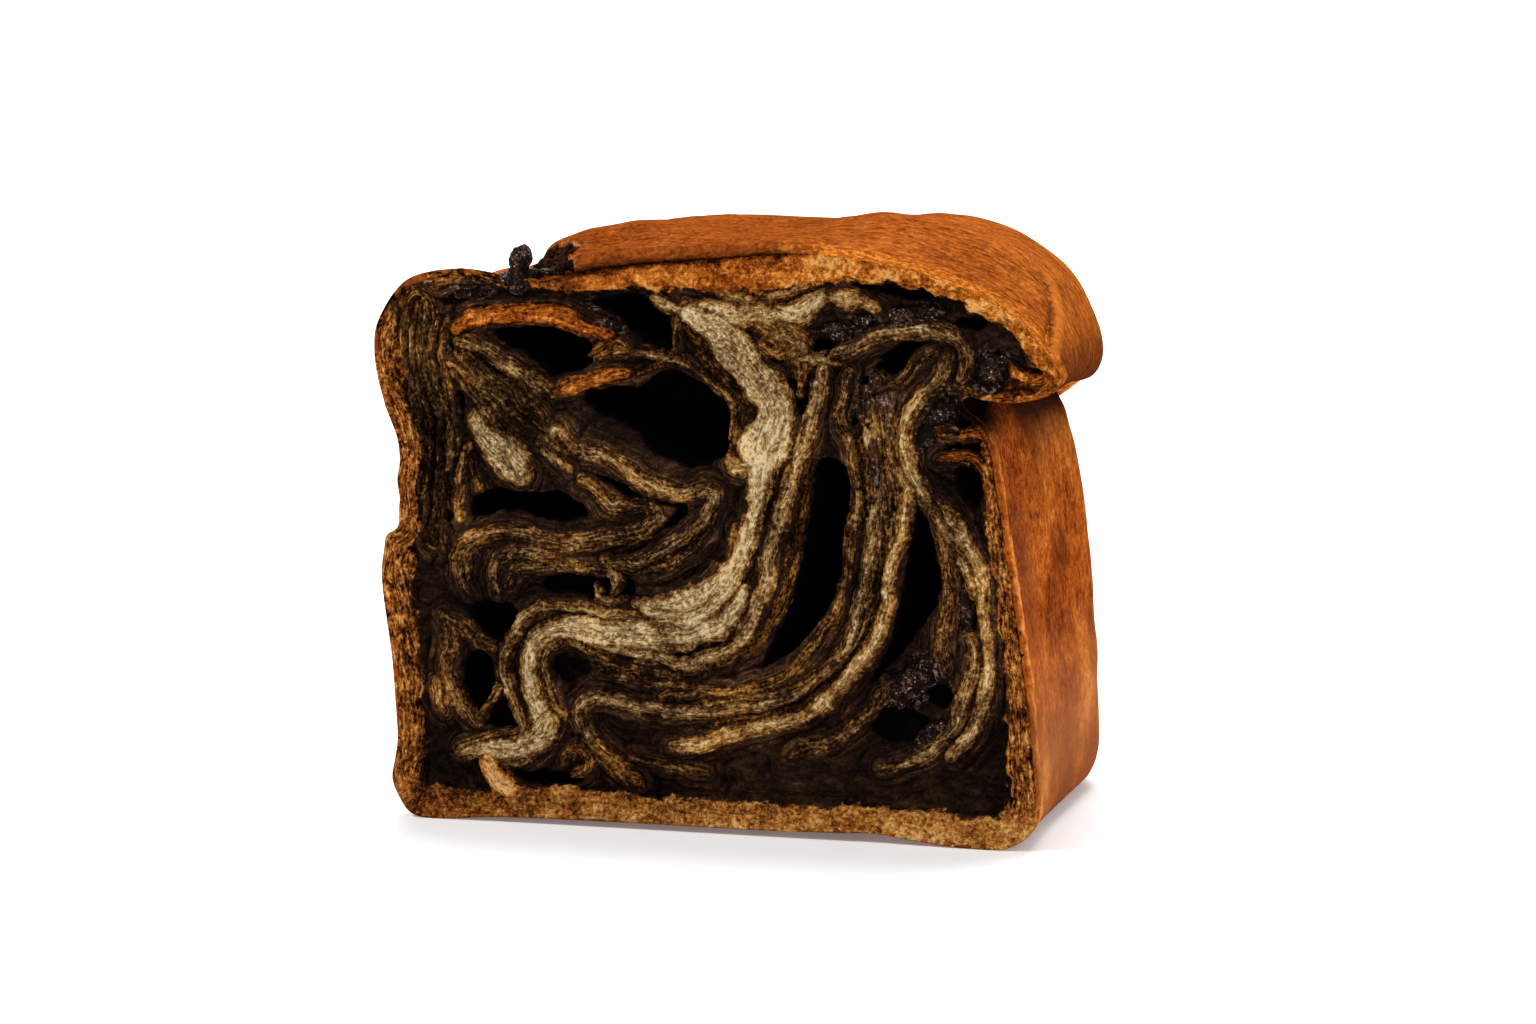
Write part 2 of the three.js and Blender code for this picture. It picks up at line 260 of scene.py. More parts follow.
# %% The strands, part 2: the sheets that turn along the base
strand(0.5, 0.3, 0.3, 1.0, [
    (-8, 23.8, 0.7), (-4, 24.8), (0, 25.2), (4, 25.5), (8, 26.3), (12, 27.4), (15, 29), (17.2, 31),
    (19.2, 33.6), (21.2, 36.5), (23.2, 39), (24.4, 41.4), (24.9, 44), (25.3, 46.5), (25.8, 49),
    (25.8, 51.4), (26.1, 54), (26.9, 56.4), (27.6, 58.6), (27.7, 61), (27.2, 64), (26.5, 66.5),
    (26.6, 68.6), (25.8, 70.6), (24.6, 72.2), (24.3, 74.5), (25, 78), (25.6, 82, 0.8)])
strand(0.62, 0.05, 0.1, 1.15, [
    (-21, 14.5, 0.7), (-22.2, 17), (-23.2, 19.6), (-23.2, 22), (-20.4, 23.2, 1.2), (-16, 22.5, 1.3),
    (-10, 21.7), (-2, 21.7), (2, 22), (6, 22.6), (10, 23.3), (14, 24.4), (17.8, 26), (20.4, 28.2),
    (22.6, 31), (24.7, 33.4), (26.3, 36), (27.3, 39), (28.1, 42.2), (28.8, 45), (29.3, 48), (29.6, 51),
    (29.8, 54), (30.2, 57), (30.8, 60), (31, 63.5), (30.5, 66.4), (29.6, 69.4), (29.2, 72.5, 0.9)])
strand(0.84, 0.3, 0, 1.45, [
    (-6, 15.3, 1), (-3.5, 15.3), (0, 16), (3, 17), (6, 18.2), (9, 19.3), (12, 20.2), (15, 20.8), (18, 21.8),
    (21, 23.6), (24, 26.6), (27, 30.3), (29.3, 33.3), (31, 36), (32.2, 38.8), (32.8, 42), (32.7, 45),
    (33.1, 47.8), (33.9, 50.2), (34.7, 52.4), (35.2, 54.8), (35.5, 57), (36, 59.6), (36.6, 62.2)])
strand(0.66, 0.1, 0.1, 1.3, [
    (43.4, 85, 0.9), (42.4, 82), (40.5, 79.8), (38, 77.6), (36.3, 74.6), (35.6, 71), (36.3, 67.8),
    (37.3, 65), (38.4, 62.6), (39.4, 60.4), (40.8, 57.6, 1)])
strand(0.5, 0.15, 0.2, 1.1, [
    (33, 74, 0.9), (33, 71), (33.2, 68.4), (34.2, 65.6), (35.4, 63.2), (36.4, 61, 0.9)])
strand(0.42, 0.1, 0.5, 1, [(40.5, 85.5), (38, 84), (36.3, 82), (33.8, 80), (30, 78.2, 0.8)])
strand(0.6, 0.15, 0, 1.2, [
    (22, 84.6, 0.9), (26, 85.9), (30, 88), (34, 89.3, 1.3), (38, 89.6, 1.4), (42, 89.2, 1.3), (44.6, 88.3),
    (46.1, 86.4), (46.4, 84), (46, 81.3, 0.9)])
strand(0.38, 0.3, 0.8, 1.3, [
    (41.6, 55.5, 0.8), (42.6, 52), (43.5, 49), (44, 46), (44, 43), (43.2, 40), (42.3, 35), (43, 31, 0.8)])
strand(0.58, 0.15, 0.1, 0.9, [
    (40.6, 59.4), (42, 57), (43.5, 54.6), (45, 52), (46.5, 49.5), (47.5, 47), (48.3, 44.6)])
strand(0.82, 0.15, 0, 1.2, [
    (42, 60.2, 0.8), (44, 57.5), (46.1, 54.5), (47.9, 51.4), (49.2, 48.4), (49.9, 45), (50.3, 40.4),
    (50.6, 36.4), (50.8, 31.4), (50.6, 28), (50, 25), (49, 22.4), (47.6, 20), (46, 17.8),
    (44.4, 15.8, 0.8)])
strand(0.6, 0.1, 0.2, 1.4, [
    (47.4, 36.4, 0.9), (48, 33.4), (47.9, 30.4), (47, 27.5), (46, 25, 1.5), (45.2, 22.5, 1.4), (43.8, 19.8),
    (41.9, 17.5, 1.2), (39.6, 15.8), (36, 14.2, 0.9), (32, 13.2, 0.6)])
strand(0.42, 0.3, 0.7, 1.2, [
    (31.5, 26.5, 0.8), (30, 24), (28.5, 22), (26.5, 20), (24, 18.2), (21, 17), (18, 16), (15.6, 15, 0.7)])
strand(0.4, 0.4, 0.7, 0.7, [(-14, 12.6), (-10, 12), (-6, 11.7), (-3, 11.3), (0, 10.8)])
strand(0.4, 0.35, 0.6, 0.6, [
    (2, 19.6), (8, 20.9), (14, 22.6), (19, 24.8), (22.4, 28), (25.2, 31.4), (28, 34.6), (30, 38), (31, 42),
    (31.2, 47), (31.8, 51), (32.8, 55), (33.6, 59), (33.4, 62.4)])

# %% [markdown]
# Left of the middle the sheets fold back on themselves. Down the left wall they lie like pages, so one loop
# makes them, each further in than the last: how far in, its tone, and how high its top and its foot are.

# %% The strands, part 3: the folds on the left
strand(0.5, 0.2, 0.1, 1.5, [
    (-44, 41, 0.9), (-45.5, 43.5), (-45.7, 47), (-44.2, 49.8), (-41.5, 51.4), (-38, 52.2), (-34, 52),
    (-30, 51), (-26, 50.6), (-22, 51.3), (-18, 52), (-14, 52.7), (-10.4, 54), (-8.3, 55.8),
    (-9.6, 57.3, 1.3), (-13, 57.6, 1.3), (-16.6, 57.4), (-18.2, 58.6), (-19.8, 60.6), (-23, 62, 0.8)])
strand(0.42, 0.15, 0.4, 1.3, [
    (-38.4, 41, 0.8), (-39.7, 44), (-38.5, 46.9), (-36, 48.3), (-33, 48.5), (-30, 47.8), (-27, 47.2, 0.9)])
strand(0.42, 0.15, 0.6, 1.1, [
    (-36.4, 43, 0.8), (-35.4, 45.2), (-33, 46.2), (-27.5, 46.2), (-21.5, 46.4), (-17, 46.2)])
strand(0.55, 0.15, 0.1, 1.4, [
    (-24, 67.5, 0.8), (-21, 67), (-18, 66.2), (-15, 64.5), (-12, 62.5), (-9.5, 61), (-7, 60.3), (-4.5, 60),
    (-2, 60.4), (0.4, 61.1), (2.2, 60.4), (1.8, 58.4), (0.8, 56.8), (-0.7, 54.5), (-3.5, 52), (-7, 50),
    (-10, 48.3), (-13, 47.3), (-17, 46.9, 1)])
strand(0.4, 0.2, 0.6, 0.9, [(0.4, 54), (-2, 51.4), (-5, 49), (-8, 47.2), (-12, 46.2)])
strand(0.7, 0.15, 0, 1, [
    (-28, 69.4, 0.7), (-27.4, 70.6, 1.4), (-26, 70.2, 1.3), (-25, 68.6), (-23.5, 67.5)])
strand(0.7, 0.2, 0, 1, [(-18.4, 48, 0.8), (-17.2, 46), (-16.4, 43.8), (-17, 42)])
strand(0.6, 0.2, 0.2, 1, [(-20.6, 43, 0.7), (-19.6, 41.2), (-17.5, 40.4), (-15, 41, 0.7)])
PAGES = [
    (0, 0.56, 91.5, 70), (1.9, 0.44, 93, 60), (3.7, 0.54, 92.5, 52), (5.6, 0.4, 91, 50),
    (7.5, 0.5, 89.5, 49)]
for inset, tone, top, foot in PAGES:
    strand(tone, 0.5 - inset * 0.06, 0.1, 0.62, [
        (-57.4 + inset, top, 0.5), (-58 + inset, 86), (-57.7 + inset, 81), (-56.4 + inset, 76.6),
        (-55 + inset, 73), (-54.2 + inset * 0.9, 69), (-54.2 + inset * 0.9, 66),
        (-54.8 + inset * 0.8, (66 + foot) / 2), (-55 + inset * 0.8, foot - 1, 0.5)])
strand(0.5, 0.2, 0.3, 0.8, [
    (-47.4, 89.6, 0.5), (-48.8, 86.2), (-48.8, 82), (-48.1, 76.4), (-47.4, 73), (-46.8, 70.4),
    (-46.5, 66.5)])
strand(0.55, 0.25, 0.3, 0.8, [(-44.2, 67.2), (-44.8, 64), (-45.3, 61), (-46, 57.4), (-45.6, 54.4)])
strand(0.45, 0.25, 0.5, 0.7, [(-44, 65.5), (-43, 62.6), (-42.2, 60)])
strand(0.52, 0.2, 0.1, 1.5, [
    (-45, 86, 1), (-42, 84.8), (-39, 83.2), (-36, 81.6), (-33, 80.2), (-30, 78.6), (-28, 76.8, 0.9)])
strand(0.45, 0.2, 0.3, 0.8, [(-42, 82.5), (-38, 80), (-34, 77.4), (-30.6, 74.5), (-29, 71.5)])
strand(0.5, 0.2, 0.2, 1.0, [
    (-47, 82, 0.8), (-43, 79.2), (-40, 77), (-37, 74.5), (-34, 71.9), (-31.6, 69), (-28.6, 66.4),
    (-25, 64, 0.7)])
strand(0.55, 0.2, 0.2, 0.9, [
    (-46.4, 80.4), (-43.2, 76.6), (-41, 73.9), (-38.2, 70.5), (-35.2, 67), (-32.4, 63.8, 0.6)])
strand(0.88, 0.05, 0, 3, [
    (-42.4, 72.6, 0.9), (-41, 70.4, 2.1), (-38.8, 68, 3), (-36.6, 66, 3.5), (-34.8, 64, 3.2),
    (-33.6, 62.6, 2)])
strand(0.5, 0.3, 0.2, 0.9, [(-49, 37), (-46, 35.6), (-43, 33), (-40.5, 31.4), (-38.8, 30, 0.6)])
strand(0.55, 0.25, 0.1, 1.2, [
    (-49, 29.4, 0.9), (-48.2, 26), (-47, 23.4), (-45.5, 21), (-44, 18.6), (-43, 17.2, 0.8)])
strand(0.5, 0.25, 0.3, 0.65, [(-43, 18), (-41.5, 20), (-39.5, 22.4), (-38.2, 24.6)])
strand(0.48, 0.3, 0.4, 1.8, [(-48.2, 36, 1.2), (-47.8, 33.4, 2.2), (-48.2, 30.4, 2.1), (-48.8, 27, 1.2)])

# %% [markdown]
# Near the top, strands baked at the edge are orange, and small tongues of crumb hang between the pockets.

# %% The strands, part 4: under the top crust
strand(0.7, 0.95, 0, 1.8, [
    (-46, 88.4, 1), (-43, 89.6, 1.7), (-40, 90.5, 1.8), (-36, 91, 1.9), (-32, 91.2, 1.9), (-28, 91, 1.8),
    (-24, 90.1, 1.7), (-20.6, 88.6, 1.5), (-18, 87, 1)])
strand(0.62, 0.8, 0.4, 1.5, [
    (-28, 77.4, 0.8), (-24.5, 78.4, 1.4), (-21.4, 79.5, 1.7), (-18, 80.4, 1.7), (-14.6, 80.8, 1)])
strand(0.5, 0.6, 0.4, 1.2, [(-20.6, 83.6, 0.8), (-18.6, 85), (-16.4, 86), (-14, 85.4, 0.8)])
strand(0.5, 0.4, 0.6, 1, [(-12.4, 80.6, 0.8), (-10, 82), (-7, 83.3, 0.7)])
strand(0.55, 0.2, 0.2, 0.9, [
    (-16, 84.5, 0.7), (-12, 84.7), (-8, 84.2), (-4, 83.1), (-1, 81.4), (2, 79.4), (4.2, 77.2), (5.4, 75),
    (5.8, 72), (5.5, 69.2, 0.7)])
strand(0.55, 0.3, 0.4, 0.6, [(-5.5, 84), (-5.4, 87.6), (-5, 91)])
strand(0.9, 0.3, 0, 1.2, [(-9, 94.4, 0.8), (-7.3, 93.5, 1.4), (-5.2, 92.7, 1.2), (-2.4, 92.6, 0.9)])
strand(0.5, 0.4, 0.9, 1.3, [(-3, 89.4, 0.8), (0, 85), (3.6, 80.6), (6.6, 76.6, 0.8)])
strand(0.55, 0.35, 0.6, 1, [(5.5, 54.4, 0.6), (4.9, 51.4), (3.9, 48.8, 0.6)])
strand(0.92, 0.2, 0.1, 1.6, [
    (12.2, 92.4, 1), (14.6, 91.8, 1.8), (17, 92.2, 2.4), (19.4, 93.6, 2), (21.6, 95.2, 1.2)])
strand(0.8, 0.2, 0.2, 1.2, [(11.6, 88.6, 0.8), (14.2, 87.8, 1.5), (16.8, 86.6, 1.3), (18.6, 85.4, 0.9)])
strand(0.7, 0.35, 0.2, 1, [
    (3, 94.8, 0.7), (5.6, 93.6), (8.4, 93.4), (12, 94.6), (16.4, 96.2), (19, 96.6, 0.7)])
strand(0.92, 0.35, 0, 1.3, [
    (22.6, 95, 0.8), (25, 94.6, 1.5), (28, 94, 1.5), (30.4, 92.9, 1.1), (31.8, 91.4, 0.7)])
strand(0.96, 0.3, 0.1, 2, [(-3.4, 92.8, 1.2), (1, 92, 2.1), (6, 91.6, 2.3), (10.6, 91.6, 1.9), (14, 92, 1)])
strand(0.66, 0.5, 0.3, 2.4, [
    (2.6, 95.4, 0.8), (7, 93.8, 1.8), (11, 91.4, 2.6), (14.4, 88.6, 3.2), (16.6, 85.6, 2.6),
    (17.4, 82, 1.6), (17.2, 78, 0.8)])
strand(0.95, 0.4, 0, 0.7, [
    (10, 86.9), (12, 88.3), (14.6, 88.6), (16.9, 87.2), (15.4, 85.4), (12.4, 85), (10.2, 86.3)])
strand(0.5, 1.0, 0.3, 2.2, [
    (48.6, 77.2, 1), (50.4, 74.6, 2.2), (51.2, 71.6, 2.4), (51.9, 68.4, 2), (52.4, 65, 1.4),
    (52.9, 61, 0.8)])
strand(1.05, 0.5, 0, 0.9, [(54.6, 83.2, 0.5), (55.4, 82.4, 1.1), (56.6, 81.5, 1)])
strand(0.45, 0.8, 1.4, 1.5, [(54, 79.8, 0.8), (57.5, 80.9, 1.6), (60.4, 81.9, 1.4)])
strand(0.95, 0.6, -0.2, 0.6, [(58.4, 84.2, 0.5), (60, 83.6, 0.8), (61.6, 82.6, 0.8), (63, 81.6, 0.6)])
strand(0.6, 0.9, 0, 0.8, [
    (41.4, 72.2, 0.6), (44, 71.5), (46.4, 71.3), (48.6, 71.5), (50.2, 70.8), (51.2, 69), (52.2, 66),
    (52.8, 63, 0.6)])
strand(0.66, 0.85, 0, 0.9, [
    (42, 67.5, 0.6), (44, 67.8), (46, 68), (48, 67.7), (49.3, 66.4), (50, 64), (50.8, 61), (51.5, 57.6),
    (52.2, 54, 0.6)])
strand(0.62, 0.5, 0, 0.7, [
    (42.6, 80.6, 0.5), (45.4, 79.2), (50.7, 78.5), (56.4, 78.8), (60.6, 79.6), (62.4, 81.2, 0.5)])
strand(0.5, 0.5, 0.2, 1.5, [(-49.6, 96.4, 1.4), (-47.2, 96.9, 1.7), (-44.6, 97, 1.2)])
strand(0.42, 0.4, 0.4, 1.2, [(-44, 96.4, 0.9), (-41.4, 97), (-38.8, 97.2, 0.8)])
print("strands:", len(STRANDS))

# %% [markdown]
# ## Air pockets and lumps of filling
#
# Where two sheets came apart in the oven there is air, so each pocket is a smooth closed outline with a
# depth. Lumps are where the filling gathers, and smears where it covers the dough: a centre, two radii and a
# tilt in degrees for each.

# %% The pockets and the lumps
POCKETS = [
    (17, [(-39.5, 88.4), (-35, 89.2), (-30, 89.2), (-25, 88.3), (-21.4, 86.6), (-20.2, 84), (-21.6, 81.4),
        (-25, 80.2), (-28.4, 79.4), (-30.8, 81.2), (-33.4, 83.5), (-36.4, 84.8), (-38.6, 86.4)]),
    (15, [(-24, 93.6), (-20, 94.2), (-16, 95.3), (-12, 95), (-9.5, 93.5), (-8, 92.2), (-6.4, 91),
        (-5.9, 88.6), (-5.2, 86.8), (-5.9, 85), (-8.4, 84.9), (-11, 86.2), (-13.4, 87.6), (-16, 90),
        (-20, 92.3)]),
    (20, [(-22, 78.4), (-15, 79), (-12, 79.6), (-9.6, 81.2), (-6, 82.2), (-2, 80.8), (2, 78), (4.4, 75),
        (4.8, 71), (3.2, 66.4), (-2, 64.2), (-8, 65.6), (-12, 68.4), (-14.4, 71), (-20, 73.2), (-23, 76)]),
    (7, [(25.4, 97.2), (27, 98.3), (29.4, 98.8), (31.6, 97.9), (33.6, 96.8), (36, 97.1), (38.2, 96.4),
        (41.2, 95.2), (41.4, 94.4), (38.8, 95), (36, 94.4), (34, 94.8), (31, 95.8), (28, 96.1)]),
    (7, [(18.6, 86.6), (21, 87.6), (24.6, 86.6), (25.4, 85), (22, 84.2), (19.6, 85)]),
    (11, [(30.4, 83.4), (32, 85.8), (35, 87.6), (39, 87.8), (42.4, 87.2), (39.4, 86.6), (37, 85.4),
        (36, 83), (34, 81.2), (31.6, 81), (30.2, 82)]),
    (6, [(44, 90.4), (45.6, 91.8), (48, 91.8), (49.8, 90.7), (49.8, 89.6), (47.6, 89.1), (45.2, 89.4)]),
    (14, [(-44.4, 57), (-42.4, 59.2), (-39, 60.3), (-36, 59.5), (-31, 60), (-28, 60.2), (-25, 58.8),
        (-22.2, 57), (-22, 55), (-26, 54), (-30, 54.2), (-36, 55.4), (-41, 54.7), (-44, 54.4)]),
    (5, [(-49.6, 54.8), (-48.4, 56.2), (-46.9, 55), (-47.4, 53.4), (-49, 53.4)]),
    (6, [(-30, 44.2), (-26, 45), (-20, 44.6), (-14, 44.6), (-12.4, 42.8), (-14, 41), (-20, 40.8),
        (-26, 41.4), (-30, 41.8)]),
    (20, [(19.4, 66), (22, 67.6), (24.8, 66.6), (26.2, 63.4), (26.5, 59.6), (25.6, 56), (25, 52), (25, 48),
        (24, 44.4), (23, 41), (20.8, 38), (18.6, 35), (16, 32.4), (12.8, 30.4), (9.8, 29.4), (10.4, 32.6),
        (12.6, 36.6), (14.4, 41.6), (15.8, 47), (16.9, 52.6), (18, 59)]),
    (16, [(37.4, 60), (38.6, 59.2), (40, 57), (41.2, 53.4), (41.8, 50), (42.3, 46.6), (42.1, 43.6),
        (41, 40.6), (38, 36.6), (34, 31.6), (30, 27.2), (29.6, 29.2), (32.4, 35), (34.2, 40), (34.7, 45),
        (35.6, 50), (36.6, 55)]),
    (8, [(44.6, 65.8), (48, 66), (49.3, 64), (49.4, 61), (48, 59.2), (46, 60.2), (44.6, 62.8)]),
    (10, [(44.6, 72.8), (44.4, 76), (45.4, 78), (47.2, 77.6), (47.8, 75), (47.2, 73)]),
    (5, [(57, 83), (58.6, 83.3), (60.2, 82.7), (60.6, 81.6), (59, 80.7), (57.6, 80.9), (57.2, 81.8)]),
    (4, [(43, 69.9), (46, 70.1), (48.8, 70), (48.8, 69), (46, 69), (43, 69)]),
    (13, [(-45, 38.4), (-42.5, 39.9), (-39, 40), (-36.4, 39.4), (-33.8, 38.2), (-35, 36.6), (-36.8, 34),
        (-38.4, 31.4), (-41, 32.6), (-43.4, 35), (-45, 36.6)]),
    (10, [(-46, 28.2), (-44.5, 30.2), (-42, 30.8), (-40, 29.8), (-39.5, 27), (-39.6, 24.2), (-41, 21.6),
        (-42.8, 19.4), (-44.8, 21.6), (-46.2, 25)]),
    (5, [(-38, 23), (-36.4, 20), (-35.4, 16.8), (-39.6, 16.6), (-41.2, 18.6)]),
    (3, [(-29, 30), (-26, 31.2), (-22.5, 30.4), (-20.6, 28.4), (-24, 26), (-27, 25), (-28.6, 26.6)]),
    (5, [(-36, 9.4), (-33, 9.2), (-28, 9.8), (-22, 8.8), (-24, 7.2), (-30, 6.8), (-35, 7.4)]),
    (5, [(40, 27.6), (43.6, 28.2), (44.6, 25.6), (42.8, 23.6), (40.4, 24.8)]),
    (4, [(30, 23), (36, 24.2), (40.4, 22), (38.4, 18.4), (33, 17.4), (29.6, 19.6)]),
    (4, [(27.7, 80.5), (28.6, 81.3), (29.4, 80.5), (28.5, 79.8)]),
    (4, [(25.8, 73.5), (26.6, 74.5), (27.3, 73.5), (26.5, 72.5)]),
    (4, [(-46.2, 77.2), (-45.2, 76.6), (-44.6, 72.4), (-45.6, 72.8)]),
    (6, [(-6, 57.4), (-3.4, 56.7), (-5.4, 54.6), (-9.4, 52.4), (-14, 50.4), (-20, 49), (-20, 49.8),
        (-14, 51), (-9, 53.4)]),
    (6, [(-21, 63.2), (-17, 62.4), (-13, 60), (-9, 58.9), (-4, 58.2), (-4, 57.2), (-9, 58), (-14, 58.8),
        (-18, 60.8)]),
    (4, [(-7.6, 31), (-4, 31.4), (0, 32.4), (3, 34), (5.4, 37.2), (2, 34.8), (-1, 33), (-4, 32.2)]),
    (4, [(15.8, 82.6), (18.6, 82.6), (19, 79), (18.2, 75.2), (16.4, 74.6), (15.2, 78)]),
]
LUMPS = [
    (50.7, 82.5, 3.8, 3.4, 0), (35.8, 91.6, 6.6, 1.7, 6), (23.6, 88.6, 3.6, 1.7, -12),
    (30.6, 75.4, 2.4, 4.2, 14), (42.2, 75.6, 2.8, 3.2, 20), (39.4, 71.6, 2.0, 3.2, -24),
    (37.2, 28.2, 6.2, 3.0, 40), (40.8, 19.6, 4.6, 1.7, 36), (-17.6, 88.6, 2.6, 1.8, 20),
    (46.6, 42, 1.6, 5.4, 6), (-43.6, 94.6, 3.8, 1.3, 8), (28.4, 90.8, 2.6, 1.4, 14)
]
SMEARS = [
    (29.8, 77, 4.2, 5, 30), (31.2, 68.5, 1.8, 7, -8), (34, 91, 7, 1.5, 4), (-44.2, 95, 4.8, 1.7, 6),
    (44.2, 75.6, 2.2, 5, 0), (24.4, 88.4, 4, 1.7, -5), (-21, 93, 6, 1.2, -6)
]
print("pockets:", len(POCKETS), "lumps:", len(LUMPS), "smears:", len(SMEARS))


# %% [markdown]
# ## Distances
#
# All the shapes above come together through distances: how far a point of the face is from each strand's
# middle, from each pocket's rim and from the loaf's outline. One function finds the nearest place on a chain
# of points. A strand or a pocket passes it only the points in its reach, which keeps it quick.

# %% The nearest place on a chain
def nearest_on_chain(points, chain):
    """For each point: the squared distance, the place along the chain in steps, and the side (1 or -1)."""
    best = np.full(len(points), 1e9)
    along = np.zeros(len(points))
    side = np.ones(len(points))
    for i, (start, end) in enumerate(zip(chain[:-1], chain[1:])):
        way = end - start
        offset = points - start
        share = np.clip(offset @ way / max(way @ way, 1e-9), 0, 1)
        gap = offset - share[:, None] * way
        squared = np.einsum("ij,ij->i", gap, gap)
        nearer = squared < best
        best[nearer] = squared[nearer]
        along[nearer] = i + share[nearer]
        side[nearer] = np.sign(way[0] * offset[nearer, 1] - way[1] * offset[nearer, 0])
    return best, along, side


def lengths_along(chain):
    """The length from the chain's start to each of its points."""
    return np.r_[0, np.cumsum(np.linalg.norm(np.diff(chain[:, :2], axis=0), axis=1))]


def inside(points, loop):
    """Whether each point is inside the closed loop: a line out from it crosses it an odd number of times."""
    crossings = np.zeros(len(points), int)
    for (x0, z0), (x1, z1) in zip(loop, np.roll(loop, -1, axis=0)):
        spans = (z0 > points[:, 1]) != (z1 > points[:, 1])
        if z1 != z0:
            crossings += spans & (points[:, 0] < x0 + (points[:, 1] - z0) * (x1 - x0) / (z1 - z0))
    return crossings % 2 == 1


# %% [markdown]
# ## The cut face's mesh
#
# The face starts as a fine grid, trimmed to the outline. Each of its points is then moved back by a depth
# that is worked out from the strands, the pockets and the lumps.

# %% A grid trimmed to the outline
CELL = 0.36


def trimmed_grid():
    """A bmesh grid of the cut plane, in mm, whose rim lies on the cut's outline."""
    low, high = cut_outline.min(0) - 1, cut_outline.max(0) + 1
    cells = np.ceil((high - low) / CELL).astype(int)
    mesh = bmesh.new()
    bmesh.ops.create_grid(mesh, x_segments=int(cells[0]), y_segments=int(cells[1]), size=0.5)
    stretch = Matrix.Diagonal((high[0] - low[0], high[1] - low[1], 1, 1))
    stand = Matrix.Rotation(math.pi / 2, 4, "X")
    middle = Matrix.Translation(((low[0] + high[0]) / 2, CUT_Y, (low[1] + high[1]) / 2))
    bmesh.ops.transform(mesh, matrix=middle @ stand @ stretch, verts=mesh.verts)
    centres = np.array([face.calc_center_median()[:] for face in mesh.faces])[:, [0, 2]]
    kept = inside(centres, cut_outline)
    outside = [face for face, keep in zip(mesh.faces, kept) if not keep]
    bmesh.ops.delete(mesh, geom=outside, context="FACES")
    rim = [vert for vert in mesh.verts if vert.is_boundary]
    places = np.array([(vert.co.x, vert.co.z) for vert in rim])
    loop = np.vstack([cut_outline, cut_outline[:1]])
    _, along, _ = nearest_on_chain(places, loop)
    step = along.astype(int).clip(0, len(loop) - 2)
    snapped = loop[step] + (along - step)[:, None] * (loop[step + 1] - loop[step])
    for vert, (x, z) in zip(rim, snapped):
        vert.co.x, vert.co.z = x, z
    bmesh.ops.remove_doubles(mesh, verts=rim, dist=CELL * 0.25)
    return mesh


face_mesh = trimmed_grid()
face_verts = list(face_mesh.verts)
places = np.array([(vert.co.x, vert.co.z) for vert in face_verts])
print("points on the cut face:", len(places))

# %% [markdown]
# Each point of the face belongs to the strand it is deepest in, or else nearest to. `edge` is how far inside
# the strand's edge it is, negative outside. `flow` runs along and across the strand, so that fibres drawn
# with it follow the swirl.

# %% Which strand each point belongs to
STRAND_REACH = 7.0
NO_STRAND = -6.0


def swirl_fields(points):
    """The fields of the cut face at the points: edge, tone, warmth, flow and depth behind the cut."""
    count = len(points)
    fields = {
        "edge": np.full(count, NO_STRAND), "tone": np.zeros(count), "warmth": np.zeros(count),
        "flow": np.zeros((count, 3)), "level": np.zeros(count),
    }
    best = np.full(count, -99.0)
    bent = points + 0.35 * np.stack([patches(points, 3.1, seed, 2) for seed in (11, 23)], axis=1)
    for number, (tone, warmth, level, chain) in enumerate(STRANDS):
        low, high = chain[:, :2].min(0) - STRAND_REACH, chain[:, :2].max(0) + STRAND_REACH
        near = np.flatnonzero(((bent > low) & (bent < high)).all(1))
        squared, along, side = nearest_on_chain(bent[near], chain[:, :2])
        steps = np.arange(len(chain))
        away = np.sqrt(squared)
        edge = np.interp(along, steps, chain[:, 2]) - away
        score = np.minimum(edge, 0.5) - 0.15 * level + 0.001 * edge
        better = score > best[near]
        took = near[better]
        best[took] = score[better]
        fields["edge"][took] = edge[better]
        fields["tone"][took] = tone
        fields["warmth"][took] = warmth
        fields["level"][took] = level
        fields["flow"][took, 0] = np.interp(along[better], steps, lengths_along(chain))
        fields["flow"][took, 1] = (away * side)[better]
        fields["flow"][took, 2] = number * 1.7
    along, across, number = fields["flow"].T
    fields["edge"] += 0.4 * noise(along / 1.6, number * 5 + 3.3 * np.sign(across), 13, 2)
    return fields


fields = swirl_fields(places)

# %% [markdown]
# A pocket deepens from its rim inwards, over a wall as long as a sixth of its depth. Lumps and smears are
# shares that fall off round their ovals.

# %% How deep the pockets are, and where filling gathers
POCKET_WALL = 0.16

pocket_depth = np.zeros(len(places))
for deep, rim_points in POCKETS:
    rim = smooth_rows(rim_points, 4, closed=True)
    near = np.flatnonzero(((places > rim.min(0) - 1) & (places < rim.max(0) + 1)).all(1))
    squared, _, _ = nearest_on_chain(places[near], np.vstack([rim, rim[:1]]))
    inwards = np.where(inside(places[near], rim), 1, -1) * np.sqrt(squared)
    share = smoothstep(-0.3, POCKET_WALL * deep, inwards + 0.35 * patches(places[near], 1.6, 5, 2))
    pocket_depth[near] = np.maximum(pocket_depth[near], deep * share)


def share_in(ovals, low, high):
    """How far each place is in one of the turned ovals: 1 within low times its size, 0 past high times."""
    share = np.zeros(len(places))
    for x, z, wide, tall, tilt in ovals:
        turn = math.radians(tilt)
        offset = places - (x, z)
        a = (offset[:, 0] * math.cos(turn) + offset[:, 1] * math.sin(turn)) / wide
        b = (offset[:, 1] * math.cos(turn) - offset[:, 0] * math.sin(turn)) / tall
        share = np.maximum(share, fade(low, high, np.hypot(a, b)))
    return share


near_lump = share_in(LUMPS, 0.8, 1.5)
smeared = share_in(SMEARS, 0.3, 1.3)
print("deepest pocket:", round(pocket_depth.max(), 1), "mm")

